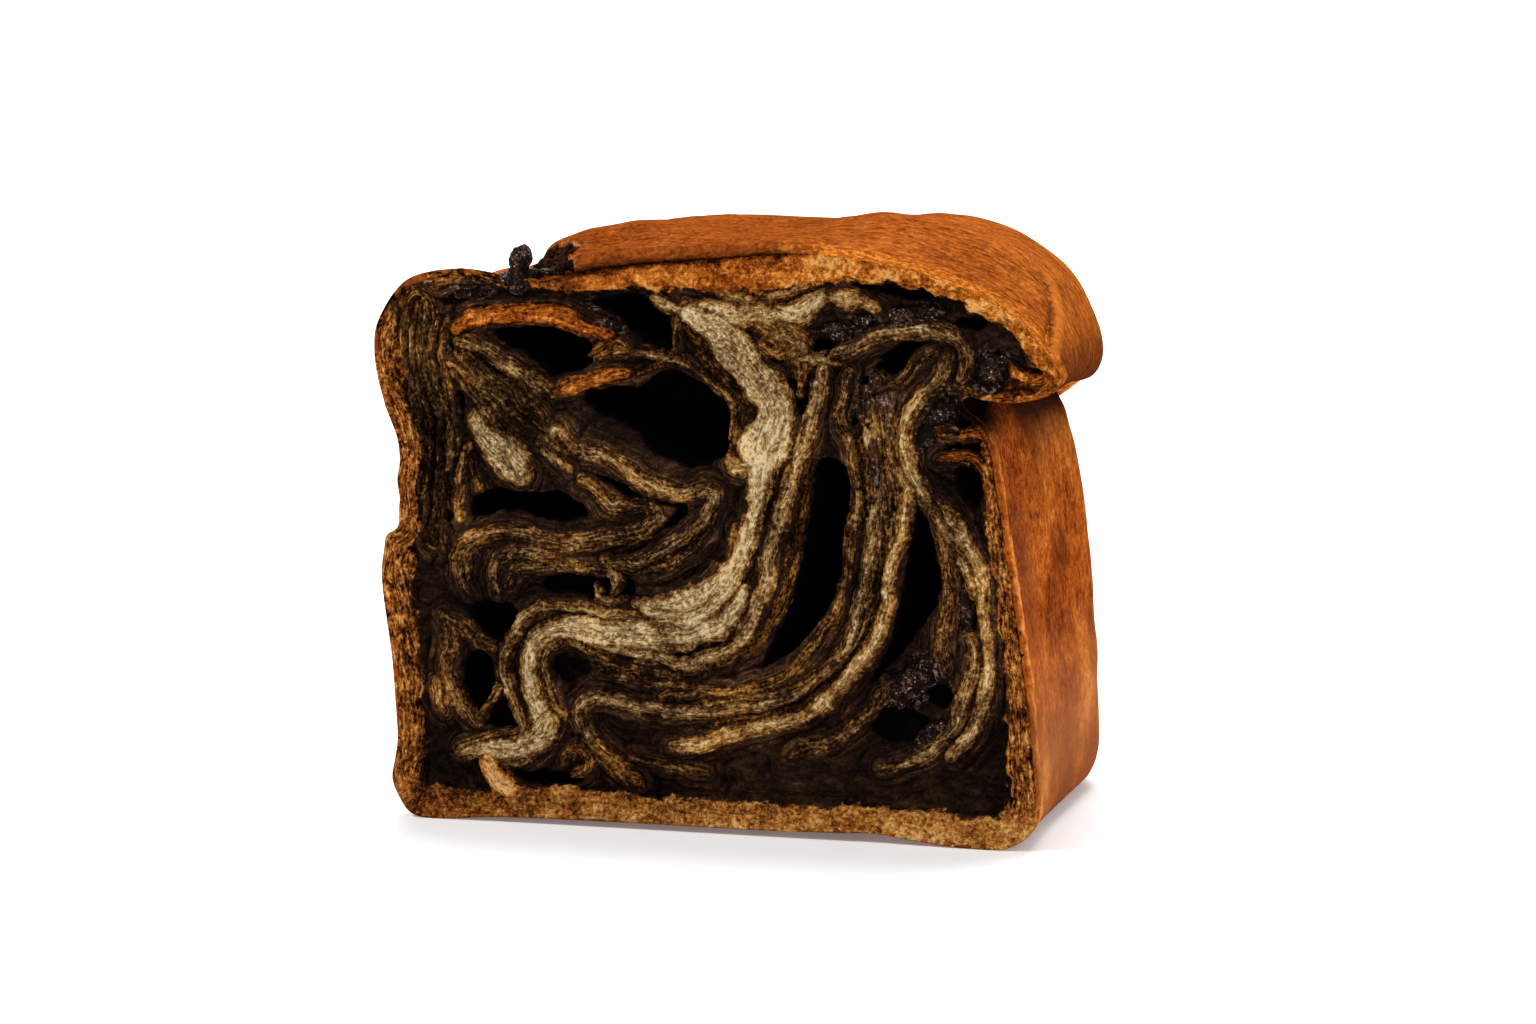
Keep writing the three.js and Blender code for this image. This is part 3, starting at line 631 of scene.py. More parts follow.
# %% [markdown]
# The crust shows round the face as a band, as wide as the section's rows say, with an uneven inner edge.

# %% The band round the face
loop = np.vstack([section, section[:1]])
loop_steps = np.arange(len(loop))
lengths = lengths_along(loop)
squared, along, _ = nearest_on_chain(places, loop[:, :2])
rim_gap = np.sqrt(squared)
rim_along = np.interp(along, loop_steps, lengths)
band_width = np.interp(along, loop_steps, loop[:, 4]) + 0.8 * patches(places, 2.3, 31, 2)
band = smoothstep(-0.7, 0.8, band_width - rim_gap)

# %% [markdown]
# Filling lies a little behind the cut, since it shrinks as it bakes, with thin ribs that follow the sheets.
# Strands stand at the cut, fibrous along their length, and some are split lengthwise.

# %% How deep filling and strands lie
flow_along, flow_across, flow_id = fields["flow"].T
fibre = noise(flow_across * 1.5 + flow_id, flow_along * 0.16, 3, 3)
sheets = noise(flow_across / 0.85 + flow_id, flow_along / 15, 15, 2) * smoothstep(-4.5, -1.5, fields["edge"])
grain = patches(places, 0.9, 7, 2)
solid = fade(0.3, 2.5, pocket_depth) * (1 - near_lump)
ribs = smoothstep(-0.2, 0.8, sheets) * solid * smoothstep(-7, -2, fields["edge"])
near_strand = smoothstep(-2.8, -0.2, fields["edge"])
filling_depth = 2.1 + 0.5 * patches(places, 4, 9, 2) - 0.4 * fibre - 0.8 * ribs
filling_depth = filling_depth + 0.25 * grain + 0.8 * near_lump - 0.8 * near_strand
floor_depth = np.maximum(filling_depth, pocket_depth + 0.3 * fibre)
split = smoothstep(0.25, 0.7, noise(flow_across / 0.85 + 3 * flow_id, flow_along / 16, 17, 1))
strand_top = fields["level"] + 0.3 - 0.4 * fibre + 0.16 * grain - 0.2 * sheets + 0.5 * split
strand_top = strand_top - 0.3 * smoothstep(0, 1.6, fields["edge"])
strand_share = smoothstep(-0.5, 0.6, fields["edge"] + 0.25 * grain)
depth = floor_depth + (strand_top - floor_depth) * strand_share

# %% [markdown]
# The band isn't the same all round, so each part of it is a share, 1 there and 0 elsewhere. The right wall's
# edge has a groove along its rim, and the torn top's crumb draws back under the lip.

# %% The parts of the band
x, z = places.T
at_base = fade(4, 9, z)
at_top = smoothstep(84, 92, z) * smoothstep(-32, -24, x)
at_shoulder = smoothstep(82, 92, z) * fade(-34, -28, x)
at_right = smoothstep(44, 50, x) * fade(70, 76, z) * (1 - at_base)
at_left = fade(-54, -46, x) * (1 - at_shoulder)
at_tip = smoothstep(49, 53, x) * smoothstep(74, 76, z) * fade(88, 91, z)
under_lip = at_top * fade(14, 24, x)
rim_groove = at_right * fade(0.3, 1.1, rim_gap)
streaky = np.clip(at_right + at_left + at_shoulder, 0, 1) * (1 - at_base)

# %% The relief
band_top = 0.35 + 0.3 * grain + 0.3 * patches(places, 0.6, 41, 2) + 0.3 * patches(places, 2.6, 43)
band_top = band_top + 0.55 * streaky * noise(rim_gap * 1.3, rim_along / 5, 45, 2) + 0.7 * rim_groove
depth = depth + (band_top - depth) * band
to_rim = smoothstep(0, 0.7, rim_gap)
depth = depth * to_rim + under_lip * (1 - to_rim)
for vert, back in zip(face_verts, depth):
    vert.co.y = CUT_Y + back
print("depth of the relief in mm:", round(depth.min(), 2), "to", round(depth.max(), 2))

# %% [markdown]
# `rind` is how light the band is: the base is ochre and the torn top orange, while the left shoulder is dark
# with filling, but for one pale spot. `torn` and `rim_warm` are how crumbly and how orange it is.

# %% The band's colours
rind = 0.46 + 0.1 * at_base + (0.12 + 0.12 * smoothstep(10, 26, x)) * at_top - 0.2 * at_shoulder
rind -= 0.22 * at_base * fade(-42, -33, x) + 0.12 * at_left * smoothstep(1.5, 4.5, rim_gap)
# painted shade: the band is darker in the groove along the right rim and in the crease under the lip
rind -= 0.26 * rim_groove + 0.08 * at_right + 0.4 * under_lip * fade(0.3, 1.0, rim_gap)
rind += 0.4 * np.exp(-((x + 49.6) / 3) ** 2 - ((z - 96.4) / 1.4) ** 2)
rind += 0.04 * at_left + 0.05 * at_right + 0.06 * at_top - 0.26 * at_top * fade(-30, -18, x)
rind += 0.12 * at_tip + at_base * (0.1 * fade(1, 4, rim_gap) + 0.1 * smoothstep(20, 48, x) - 0.03)
torn = 1 - 0.8 * at_top * fade(-18, 4, x)
rim_warm = np.clip(at_top + 0.3 * at_right + 0.35 * at_left + 0.8 * at_tip, 0, 1)

# %% [markdown]
# ## Behind the cut
#
# The skin blends from the cut's outline into the fuller body's, sooner on the left, and near the heel it
# turns in. The face's body and the crust's inner wall follow the skin from inside, out of sight, and are
# shut there.

# %% The skin's rings
RISE_DEPTH, RISE_LEFT = 30, 12
TOP_RECEDE = 4.5
HEEL_LENGTH, HEEL_SIDE, HEEL_BASE, HEEL_TOP = 20, 15, 8, 17
HALF_WIDTH = 60
MIDDLE = np.array([0.0, 50.0])


def ring_at(back):
    """The skin's ring at a distance behind the cut: places (x, z), one for each point of the section."""
    cut, body = section[:, :2], section[:, 2:4]
    left = smoothstep(84, 94, cut[:, 1]) * fade(-26, 20, cut[:, 0])
    rise = RISE_DEPTH + (RISE_LEFT - RISE_DEPTH) * left
    share = np.sin(math.pi / 2 * np.minimum(1, back / rise))[:, None]
    ring = cut * (1 - share) + body * share
    receding = TOP_RECEDE * smoothstep(35, 65, back) * smoothstep(70, 84, ring[:, 1])
    ring[:, 0] -= receding * smoothstep(20, 55, body[:, 0])
    along = max(0, (back - (DEPTH - HEEL_LENGTH)) / HEEL_LENGTH)
    heel = 1 - math.sqrt(max(0, 1 - along * along))
    shrink_z = (HEEL_BASE + (HEEL_TOP - HEEL_BASE) * smoothstep(30, 70, ring[:, 1])) / MIDDLE[1]
    shrink = np.stack([np.full(len(ring), HEEL_SIDE / HALF_WIDTH), shrink_z], axis=1)
    return MIDDLE + (ring - MIDDLE) * (1 - heel * shrink)


def inset_ring(back, inset):
    """The skin's ring at a distance behind the cut, moved inwards, and less so in the thin lip."""
    ring = ring_at(back)
    way = np.roll(ring, -1, axis=0) - np.roll(ring, 1, axis=0)
    way /= np.maximum(np.hypot(way[:, 0], way[:, 1]), 1e-6)[:, None]
    area = np.sum(ring[:, 0] * np.roll(ring[:, 1], -1) - ring[:, 1] * np.roll(ring[:, 0], -1))
    thin = smoothstep(40, 50, ring[:, 0]) * smoothstep(74, 77, ring[:, 1])
    inward = np.stack([-way[:, 1], way[:, 0]], axis=1) * np.sign(area)
    return ring + inward * (inset * (1 - 0.7 * thin))[:, None]


def close_inside(mesh, steps):
    """Carries an open mesh's rim back inside the skin, a step for each (back, inset), and closes it."""
    rim = [edge for edge in mesh.edges if edge.is_boundary]
    verts = list(dict.fromkeys(vert for edge in rim for vert in edge.verts))
    _, along, _ = nearest_on_chain(np.array([(vert.co.x, vert.co.z) for vert in verts]), loop[:, :2])
    along_of = dict(zip(verts, along))
    for back, inset in steps:
        carried = bmesh.ops.extrude_edge_only(mesh, edges=rim)["geom"]
        rim = [item for item in carried if isinstance(item, bmesh.types.BMEdge)]
        new = {}
        ring = inset_ring(back, inset)
        ring = np.vstack([ring, ring[:1]])
        for vert in dict.fromkeys(vert for edge in rim for vert in edge.verts):
            others = [edge.other_vert(vert) for edge in vert.link_edges]
            source = next(other for other in others if other in along_of)
            new[vert] = along_of[source]
            x, z = (np.interp(new[vert], loop_steps, ring[:, i]) for i in (0, 1))
            vert.co = (x, max(source.co.y + 0.2, CUT_Y + back), z)
        along_of = new
    cap = bmesh.ops.contextual_create(mesh, geom=rim)["faces"]
    bmesh.ops.triangulate(mesh, faces=cap)


# %% [markdown]
# The fields ride on the meshes as layers, which become the attributes that the materials read.

# %% Keep the fields, and finish the cut face
def keep_fields(mesh, fields_of):
    """Keeps each field's values on the mesh's points, where later steps carry them along."""
    kinds = {1: mesh.verts.layers.float, 2: mesh.verts.layers.float_vector}
    for key, values in fields_of.items():
        kinds[np.ndim(values)].new(key)
    for key, values in fields_of.items():
        layer = kinds[np.ndim(values)][key]
        for vert, value in zip(mesh.verts, values.tolist()):
            vert[layer] = value


def finish_mesh(name, mesh):
    """A new object from a bmesh in mm."""
    bmesh.ops.recalc_face_normals(mesh, faces=mesh.faces)
    bmesh.ops.scale(mesh, vec=(MM, MM, MM), verts=mesh.verts)
    data = bpy.data.meshes.new(name)
    mesh.to_mesh(data)
    mesh.free()
    data.shade_smooth()
    piece = bpy.data.objects.new(name, data)
    bpy.context.scene.collection.objects.link(piece)
    print(name, "triangles:", sum(len(polygon.vertices) - 2 for polygon in data.polygons))
    return piece


keep_fields(face_mesh, {
    "edge": np.clip(fields["edge"], NO_STRAND, -NO_STRAND), "tone": fields["tone"] + 0.1 * at_tip,
    "warmth": fields["warmth"] + 0.4 * at_tip, "flow": fields["flow"],
    "hollow": smoothstep(1.0, 5.0, np.maximum(floor_depth, 0) * (1 - strand_share)),
    "band": band, "rind": rind, "torn": torn, "rim_warm": rim_warm, "near_lump": near_lump,
    "split": split, "smeared": smeared, "sheets": sheets, "streaky": streaky,
    "rim_flow": np.stack([rim_along, np.minimum(rim_gap, 12), 0 * rim_gap], axis=1),
})
close_inside(face_mesh, [(1, 0.8), (4, 2.2), (9, 2.5), (16, 2.7), (27, 2.8)])
cut_face = finish_mesh("cut_face", face_mesh)

# %% [markdown]
# ## The crust
#
# The crust starts at the cut's outline and is extruded back, ring by ring, as the skin goes. The rings lie
# close together at the cut's edge, where the crust rounds, and at the heel.

# %% The crust's rings
RING_POINTS = 640
RINGS = 84
CAP_RINGS = 24
EDGE_BACKS = [0.2, 0.45, 0.75, 1.1, 1.6, 2.2, 3.0, 4.0]
CAP_BULGE = 0.8

even = np.interp(np.linspace(0, lengths[-1], RING_POINTS, endpoint=False), lengths, loop_steps)


def resampled(ring):
    """A ring's places at the crust's evenly spaced points."""
    closed = np.vstack([ring, ring[:1]])
    return np.stack([np.interp(even, np.arange(len(closed)), closed[:, i]) for i in (0, 1)], axis=1)


def carried_ring(mesh, chain):
    """Extrudes a closed chain of points, and returns the new points in the chain's order."""
    rim = [edge for vert in chain for edge in vert.link_edges if edge.is_boundary or edge.is_wire]
    geom = bmesh.ops.extrude_edge_only(mesh, edges=list(dict.fromkeys(rim)))["geom"]
    new = {item for item in geom if isinstance(item, bmesh.types.BMVert)}
    across = [{edge.other_vert(vert) for edge in vert.link_edges} for vert in chain]
    return [(others & new).pop() for others in across]


def crust_skin():
    """The crust as a bmesh in mm, open at the cut."""
    mesh = bmesh.new()
    chain = [mesh.verts.new((x, CUT_Y, z)) for x, z in resampled(ring_at(0))]
    for i in range(len(chain)):
        mesh.edges.new((chain[i - 1], chain[i]))
    turns = np.linspace(0, 1, RINGS + 1)[1:]
    reach = DEPTH - EDGE_BACKS[-1]
    backs = EDGE_BACKS + list(EDGE_BACKS[-1] + reach * (0.25 * turns + 0.75 * np.sin(math.pi / 2 * turns)))
    rows = [(back, 1.0) for back in backs] + [(DEPTH, 1 - i / CAP_RINGS) for i in range(1, CAP_RINGS)]
    for back, size in rows:
        chain = carried_ring(mesh, chain)
        ring = MIDDLE + (resampled(ring_at(back)) - MIDDLE) * size
        for vert, (x, z) in zip(chain, ring):
            vert.co = (x, CUT_Y + back + CAP_BULGE * (1 - size), z)
    centre = (MIDDLE[0], HEEL_Y + CAP_BULGE, MIDDLE[1])
    bmesh.ops.pointmerge(mesh, verts=carried_ring(mesh, chain), merge_co=centre)
    return mesh


crust_mesh = crust_skin()
print("points on the crust:", len(crust_mesh.verts))

# %% [markdown]
# Baked dough is not a smooth loft: the walls carry the pan's slight dents, the top has soft swells, and its
# front edge is a lip over a groove. Each point moves by `swell` along its normal, and by `forward` towards
# the cut.

# %% Swells, dents and the lip
crust_mesh.normal_update()
bmesh.ops.recalc_face_normals(crust_mesh, faces=crust_mesh.faces)
crust_mesh.normal_update()
crust_verts = list(crust_mesh.verts)
skin = np.array([vert.co[:] for vert in crust_verts])
normals = np.array([vert.normal[:] for vert in crust_verts])
x, y, z = skin.T
back = y - CUT_Y
top = smoothstep(76, 80, z) * smoothstep(-38, -33, x)
roof = smoothstep(0.3, 0.8, normals[:, 2]) * smoothstep(76, 90, z)
swell = 0.8 * noise(x / 21, y / 17, 51, 2) * roof
swell += 0.5 * noise(y / 14, z / 19, 61, 2) * (1 - roof) * smoothstep(8, 24, z)
swell *= smoothstep(0, 7, back)
swell += 0.12 * noise((x + z) / 5.2, y / 1.3, 71, 2) * smoothstep(0, 2, back)
swell += 0.22 * noise((x + z) / 1.1, y / 1.1, 81, 2) * fade(0.5, 4, back) * smoothstep(0, 0.5, back)
lip = smoothstep(-30, -24, x) * fade(14, 24, x) * smoothstep(90, 96, z)
rounding = smoothstep(0.9, 2.2, back) * fade(3, 18, back)
swell += lip * (1.5 * rounding - 0.5 * smoothstep(0, 0.3, back) * fade(0.8, 1.6, back))
nose = smoothstep(0.9, 1.8, back) * fade(2.4, 5, back)
forward = lip * (1.8 * nose - 1 + smoothstep(0, 2, back))
right_edge = smoothstep(44, 50, x) * fade(68, 74, z) * smoothstep(2, 8, z)
ridge = right_edge * smoothstep(0, 0.8, back) * fade(1.4, 3.2, back)
swell += 0.5 * ridge

# %% [markdown]
# A fold runs down the right end of the top: a groove with a raised edge beside it. Four points place it: its
# start, its bend, its middle and its foot. It deepens between the start and the bend. The left end of the
# top broke open, in an oval with a ragged edge.

# %% The fold and the broken end
FOLD = [(51, -19, 102.5), (56.5, -18.5, 97.5), (59, -27, 92), (60.5, -38, 86)]
FOLD_STEPS = 14
BROKEN_X, BROKEN_Z, BROKEN_WIDE, BROKEN_HIGH = -30.2, 100.7, 6.6, 3.2

fold_line = smooth_rows(FOLD, FOLD_STEPS, closed=False)
squared, fold_along, _ = nearest_on_chain(skin, fold_line)
fold_y = np.interp(fold_along, np.arange(len(fold_line)), fold_line[:, 1])
fold_gap = np.sqrt(squared) * np.where(y > fold_y, 1, -1)
fold_share = smoothstep(0, FOLD_STEPS, fold_along) * (x > 45)
swell -= 1.2 * np.exp(-(fold_gap / 0.8) ** 2) * fold_share
swell += 0.45 * np.exp(-((fold_gap - 1.8) / 1.1) ** 2) * fold_share
broken = np.hypot((x - BROKEN_X) / BROKEN_WIDE, (z - BROKEN_Z) / BROKEN_HIGH)
broken = broken + 0.22 * noise(x / 1.1, z / 1.1 + y / 1.1, 91, 2)
broken = fade(0.82, 1.0, broken) * fade(12, 16, back) * smoothstep(0, 0.6, back)
swell -= broken * (1.3 + 0.5 * noise(x / 1.3, z / 1.3, 95, 2))
swell *= smoothstep(0.5, 4, z)
for vert, shift, ahead in zip(crust_verts, swell, forward):
    vert.co += vert.normal * float(shift)
    vert.co.y -= float(ahead)
print("swells in mm:", round(swell.min(), 2), "to", round(swell.max(), 2))

# %% [markdown]
# Two places get painted deep shadow: the groove behind the lip, and the notch under the overhang by the cut.

# %% Close the crust inside
notch = smoothstep(75, 77.5, z) * fade(5, 16, back)
notch += smoothstep(68.5, 73, z) * fade(48.5, 53.5, x) * fade(4, 18, back)
notch *= (x > 40) * fade(79.6, 81, z)
crease = np.maximum(lip * fade(0.7, 1.5, back), 1.1 * np.minimum(notch, 1))
keep_fields(crust_mesh, {
    "back": np.minimum(back, 40), "top": top, "broken": broken, "crease": crease, "ridge": ridge,
    "fold_gap": np.where(x > 45, np.clip(fold_gap, -6, 6), 6), "fold_share": fold_share})
close_inside(crust_mesh, [(0.35, 0.45), (2, 1.6), (6, 2.2), (12, 2.4), (20, 2.6), (28, 2.8)])
crust = finish_mesh("crust", crust_mesh)

# %% [markdown]
# ## Finishes
#
# A material is a tree of nodes, and its maths reads best as Python expressions. `Value` wraps a socket, so
# that `grain * 0.5 + 1` adds its own Math nodes, and `Finish` adds any other node in one call.

# %% Node expressions
class Value:
    """A node's output that can be used in sums: each operator adds a Math node."""

    def __init__(self, finish, socket):
        self.finish = finish
        self.socket = socket

    def math(self, operation, first, second, clamp=False):
        settings = {"operation": operation, "use_clamp": clamp}
        return self.finish.node("ShaderNodeMath", settings, {0: first, 1: second})

    def __add__(self, other):
        return self.math("ADD", self, other)

    def __radd__(self, other):
        return self.math("ADD", other, self)

    def __sub__(self, other):
        return self.math("SUBTRACT", self, other)

    def __rsub__(self, other):
        return self.math("SUBTRACT", other, self)

    def __mul__(self, other):
        return self.math("MULTIPLY", self, other)

    def __rmul__(self, other):
        return self.math("MULTIPLY", other, self)

    def clamped(self):
        return self.math("ADD", self, 0.0, clamp=True)

    def ramp(self, low, high):
        """0 where this is below low, 1 above high, smooth between."""
        settings = {"interpolation_type": "SMOOTHSTEP"}
        inputs = {"Value": self, "From Min": low, "From Max": high, "To Min": 0.0, "To Max": 1.0}
        return self.finish.node("ShaderNodeMapRange", settings, inputs)

    def fade(self, low, high):
        """1 where this is below low, 0 above high, smooth between."""
        return 1 - self.ramp(low, high)


class Finish:
    """A material made of nodes, on a Principled shader."""

    def __init__(self, name, **constants):
        self.material = bpy.data.materials.new(name)
        self.material.use_nodes = True
        self.tree = self.material.node_tree
        self.shader = self.tree.nodes["Principled BSDF"]
        for key, value in constants.items():
            self.shader.inputs[key.replace("_", " ")].default_value = value

    def node(self, kind, settings=None, inputs=None, out=0):
        """Adds a node: its settings first, then its sockets' values or links. Returns one output."""
        node = self.tree.nodes.new(kind)
        for key, value in (settings or {}).items():
            if key == "stops":
                self.set_stops(node.color_ramp, value)
            else:
                setattr(node, key, value)
        for key, value in (inputs or {}).items():
            self.put(node.inputs[key], value)
        return Value(self, node.outputs[out])

    @staticmethod
    def set_stops(ramp, stops):
        for _ in stops[2:]:
            ramp.elements.new(0.5)
        for element, (place, colour) in zip(ramp.elements, stops):
            element.position = place
            element.color = colour

    def put(self, socket, value):
        if isinstance(value, Value):
            self.tree.links.new(value.socket, socket)
        else:
            socket.default_value = value

    def attribute(self, name, out="Fac"):
        return self.node("ShaderNodeAttribute", {"attribute_name": name}, out=out)

    def ramp(self, value, stops):
        return self.node("ShaderNodeValToRGB", {"stops": stops}, {"Fac": value})

    def mix(self, share, first, second, blend="MIX"):
        """A colour from first to second by the share."""
        settings = {"data_type": "RGBA", "blend_type": blend, "clamp_factor": True}
        return self.node("ShaderNodeMix", settings, {0: share, 6: first, 7: second}, out=2)

    def noise(self, at, scale, detail=3.0, rough=0.55, stretch=None):
        if stretch:
            at = self.node("ShaderNodeMapping", inputs={"Vector": at, "Scale": stretch})
        inputs = {"Vector": at, "Scale": scale, "Detail": detail, "Roughness": rough}
        return self.node("ShaderNodeTexNoise", inputs=inputs)

    def done(self, piece, colour, roughness, height=None, distance=0.0003, strength=1.0):
        self.put(self.shader.inputs["Base Color"], colour)
        self.put(self.shader.inputs["Roughness"], roughness)
        if height is not None:
            inputs = {"Height": height, "Distance": distance, "Strength": strength}
            normal = self.node("ShaderNodeBump", inputs=inputs)
            self.put(self.shader.inputs["Normal"], normal)
        piece.data.materials.append(self.material)


def srgb(red, green, blue):
    """A colour as a screen shows it, 0 to 255, as the shader's linear values and an alpha of 1."""
    shares = [value / 255 for value in (red, green, blue)]
    return (*(s / 12.92 if s <= 0.04045 else ((s + 0.055) / 1.055) ** 2.4 for s in shares), 1)


# %% [markdown]
# ### The crumb
#
# Pale dough, stained dough and dark filling share one material, because they run into each other. Noise at
# three scales specks it all, and noise drawn along `flow` gives threads and hairs that follow the swirl.

# %% The crumb's textures
crumb = Finish("crumb", Specular_IOR_Level=0.03)
place = crumb.node("ShaderNodeTexCoord", out="Object")
flow = crumb.attribute("flow", out="Vector")
rim_flow = crumb.attribute("rim_flow", out="Vector")
speck = crumb.noise(place, 1300.0, 3.0, 0.7)
patch = crumb.noise(place, 230.0, 3.0, 0.5)
cloud = crumb.noise(place, 60.0, 2.0, 0.5)
smudge = crumb.noise(place, 420.0, 4.0, 0.62, stretch=(0.5, 1.0, 1.3))
streak = crumb.noise(flow, 1.0, 4.0, 0.62, stretch=(0.24, 2.0, 1.0))
fine = crumb.noise(flow, 1.0, 3.0, 0.65, stretch=(0.9, 4.4, 1.3))
rim_streak = crumb.noise(rim_flow, 1.0, 4.0, 0.65, stretch=(0.4, 2.0, 1.0))
threads = streak.ramp(0.36, 0.64) - 0.5
hairs = fine.ramp(0.38, 0.62) - 0.5

# %% [markdown]
# Dough darkens towards a strand's edge, where filling soaked in, and along its cracks. Its colour goes from
# grey through golden to orange with `warmth`.

# %% The dough
GREY = [
    (0.0, srgb(14, 9, 5)), (0.2, srgb(42, 28, 16)), (0.38, srgb(82, 60, 36)), (0.55, srgb(122, 97, 62)),
    (0.7, srgb(160, 133, 90)), (0.85, srgb(196, 170, 122)), (1.0, srgb(230, 210, 168))]
GOLDEN = [
    (0.0, srgb(18, 9, 3)), (0.25, srgb(70, 38, 12)), (0.5, srgb(136, 86, 34)), (0.7, srgb(178, 124, 58)),
    (0.85, srgb(210, 160, 88)), (1.0, srgb(238, 202, 140))]
ORANGE = [
    (0.0, srgb(20, 8, 3)), (0.25, srgb(76, 34, 8)), (0.5, srgb(146, 72, 18)), (0.7, srgb(190, 102, 30)),
    (0.85, srgb(218, 132, 48)), (1.0, srgb(240, 178, 98))]

edge = crumb.attribute("edge")
tone = crumb.attribute("tone")
warmth = crumb.attribute("warmth")
sheets = crumb.attribute("sheets")
inner = edge.ramp(-0.2, 1.5)
light = tone * (0.43 + 0.4 * inner) + sheets * 0.06 - crumb.attribute("split") * 0.2 * (1.3 - tone)
light = light + threads * 0.36 * (1.35 - tone * 0.75) + hairs * 0.2 + (patch - 0.5) * 0.7
light = light + (speck - 0.5) * 1.7 + (cloud - 0.5) * 0.8
stain = (1 - inner) * (0.15 + tone * 0.4) + cloud.ramp(0.5, 0.66) * 0.4
dough = crumb.mix((warmth * 1.3 + stain).clamped(), crumb.ramp(light, GREY), crumb.ramp(light, GOLDEN))
dough = crumb.mix(warmth.ramp(0.55, 0.9), dough, crumb.ramp(light, ORANGE))
dough = crumb.mix(streak.fade(0.31, 0.4) * inner * 0.7, dough, srgb(66, 42, 22))

# %% [markdown]
# Filling is nearly black, lighter where it is smeared thin beside a strand, and specked with painted glints
# where it gathers. The hollows fade to black, dark filling deepened by painted shade.

# %% The filling between the strands
FILLING = [
    (0.0, srgb(8, 4, 2)), (0.28, srgb(32, 18, 11)), (0.5, srgb(58, 36, 22)), (0.72, srgb(98, 66, 38)),
    (1.0, srgb(156, 120, 76))]

smeared = crumb.attribute("smeared")
near = edge.ramp(-4.0, -1.5)
smear = 0.27 + edge.ramp(-2.6, -0.4) * 0.1 + sheets * 0.12 + threads * near * 0.34 + hairs * near * 0.16
smear = smear + (speck - 0.5) * 0.9 + (cloud - 0.5) * 0.9 + (smudge - 0.5) * (1 - 0.7 * near)
# painted glints: pale specks that stand in for light caught by the filling where it gathers
painted_glints = (speck + (patch - 0.5) * 0.5).ramp(0.58, 0.66)
glint_share = (crumb.attribute("near_lump") * 0.8 + smeared * 0.9).clamped()
filling = crumb.mix(painted_glints * glint_share, crumb.ramp(smear, FILLING), srgb(150, 126, 112))
fray = (streak - 0.5) * 1.5 + (speck - 0.5) * 1.2
is_dough = (edge + fray - smeared * 3.6).ramp(-0.2, 0.2)
body = crumb.mix(is_dough, filling, dough)
# painted shade: deep in the pockets the dark filling fades to near black
body = crumb.mix(crumb.attribute("hollow").ramp(0.05, 0.65), body, srgb(3, 2, 1))

# %% [markdown]
# The band round the face is coarse, with strips along the walls, and its inner edge is frayed.

# %% The band, and the crumb's finish
RIND = [
    (0.0, srgb(22, 9, 4)), (0.22, srgb(72, 34, 12)), (0.42, srgb(126, 72, 28)), (0.6, srgb(172, 108, 44)),
    (0.8, srgb(212, 150, 78)), (1.0, srgb(236, 192, 126))]

strips = (rim_streak.ramp(0.36, 0.64) - 0.5) * crumb.attribute("streaky")
coarse = (speck - 0.5) * 1.7 + (patch - 0.5) * 1.1 + (rim_streak - 0.5) * 0.6
rind_light = crumb.attribute("rind") + coarse * (0.7 + 0.3 * crumb.attribute("torn")) + strips * 0.46
rim_warm = crumb.attribute("rim_warm")
warm_light = rind_light + (smudge.ramp(0.38, 0.62) - 0.5) * rim_warm * 0.3
rind = crumb.mix(rim_warm, crumb.ramp(rind_light, RIND), crumb.ramp(warm_light, ORANGE))
in_rind = (crumb.attribute("band") + (speck - 0.5) * 0.9 + (rim_streak - 0.5) * 1.2).ramp(0.3, 0.72)
height = streak * 0.5 + fine * 0.4 + speck * 0.8 + patch * 0.5 + rim_streak * 0.3
roughness = 0.45 + 0.5 * (is_dough + in_rind).clamped()
crumb.done(cut_face, crumb.mix(in_rind, body, rind), roughness, height, distance=0.0011)

# %% [markdown]
# ### The crust's colour
#
# The top is an even orange brown and the walls are mottled. The skin is finely wrinkled along the section,
# so the wrinkles' noise is wide across the loaf and tight along its length.

# %% The crust's textures
baked = Finish("baked_crust", Specular_IOR_Level=0.0)
place = baked.node("ShaderNodeTexCoord", out="Object")
across, depthwise, up = (
    baked.node("ShaderNodeSeparateXYZ", inputs={"Vector": place}, out=axis) for axis in range(3))
back = baked.attribute("back")
top = baked.attribute("top")
side = 1 - top
cloud = baked.noise(place, 38.0, 4.0, 0.6)
blaze = baked.noise(place, 44.0, 5.0, 0.62, stretch=(1.0, 0.6, 0.8))
stain = baked.noise(place, 52.0, 4.0, 0.65, stretch=(1.0, 0.6, 0.7))
pits = baked.noise(place, 620.0, 3.0, 0.65, stretch=(1.0, 0.6, 0.7))
pores = baked.noise(place, 1100.0, 3.0, 0.7)
wrinkle = baked.noise(place, 1.0, 3.0, 0.6, stretch=(300.0, 1350.0, 300.0))

# %% [markdown]
# The walls are stained and bruised where filling came near the surface, and rosy low down, where the pan
# kept them moist.

# %% The baked colour
BAKED = [
    (0.0, srgb(50, 20, 6)), (0.25, srgb(100, 44, 12)), (0.45, srgb(143, 70, 24)), (0.62, srgb(174, 92, 33)),
    (0.8, srgb(205, 120, 46)), (1.0, srgb(232, 160, 84))]
WALL_TINT = (1.0, 0.8, 0.75, 1)
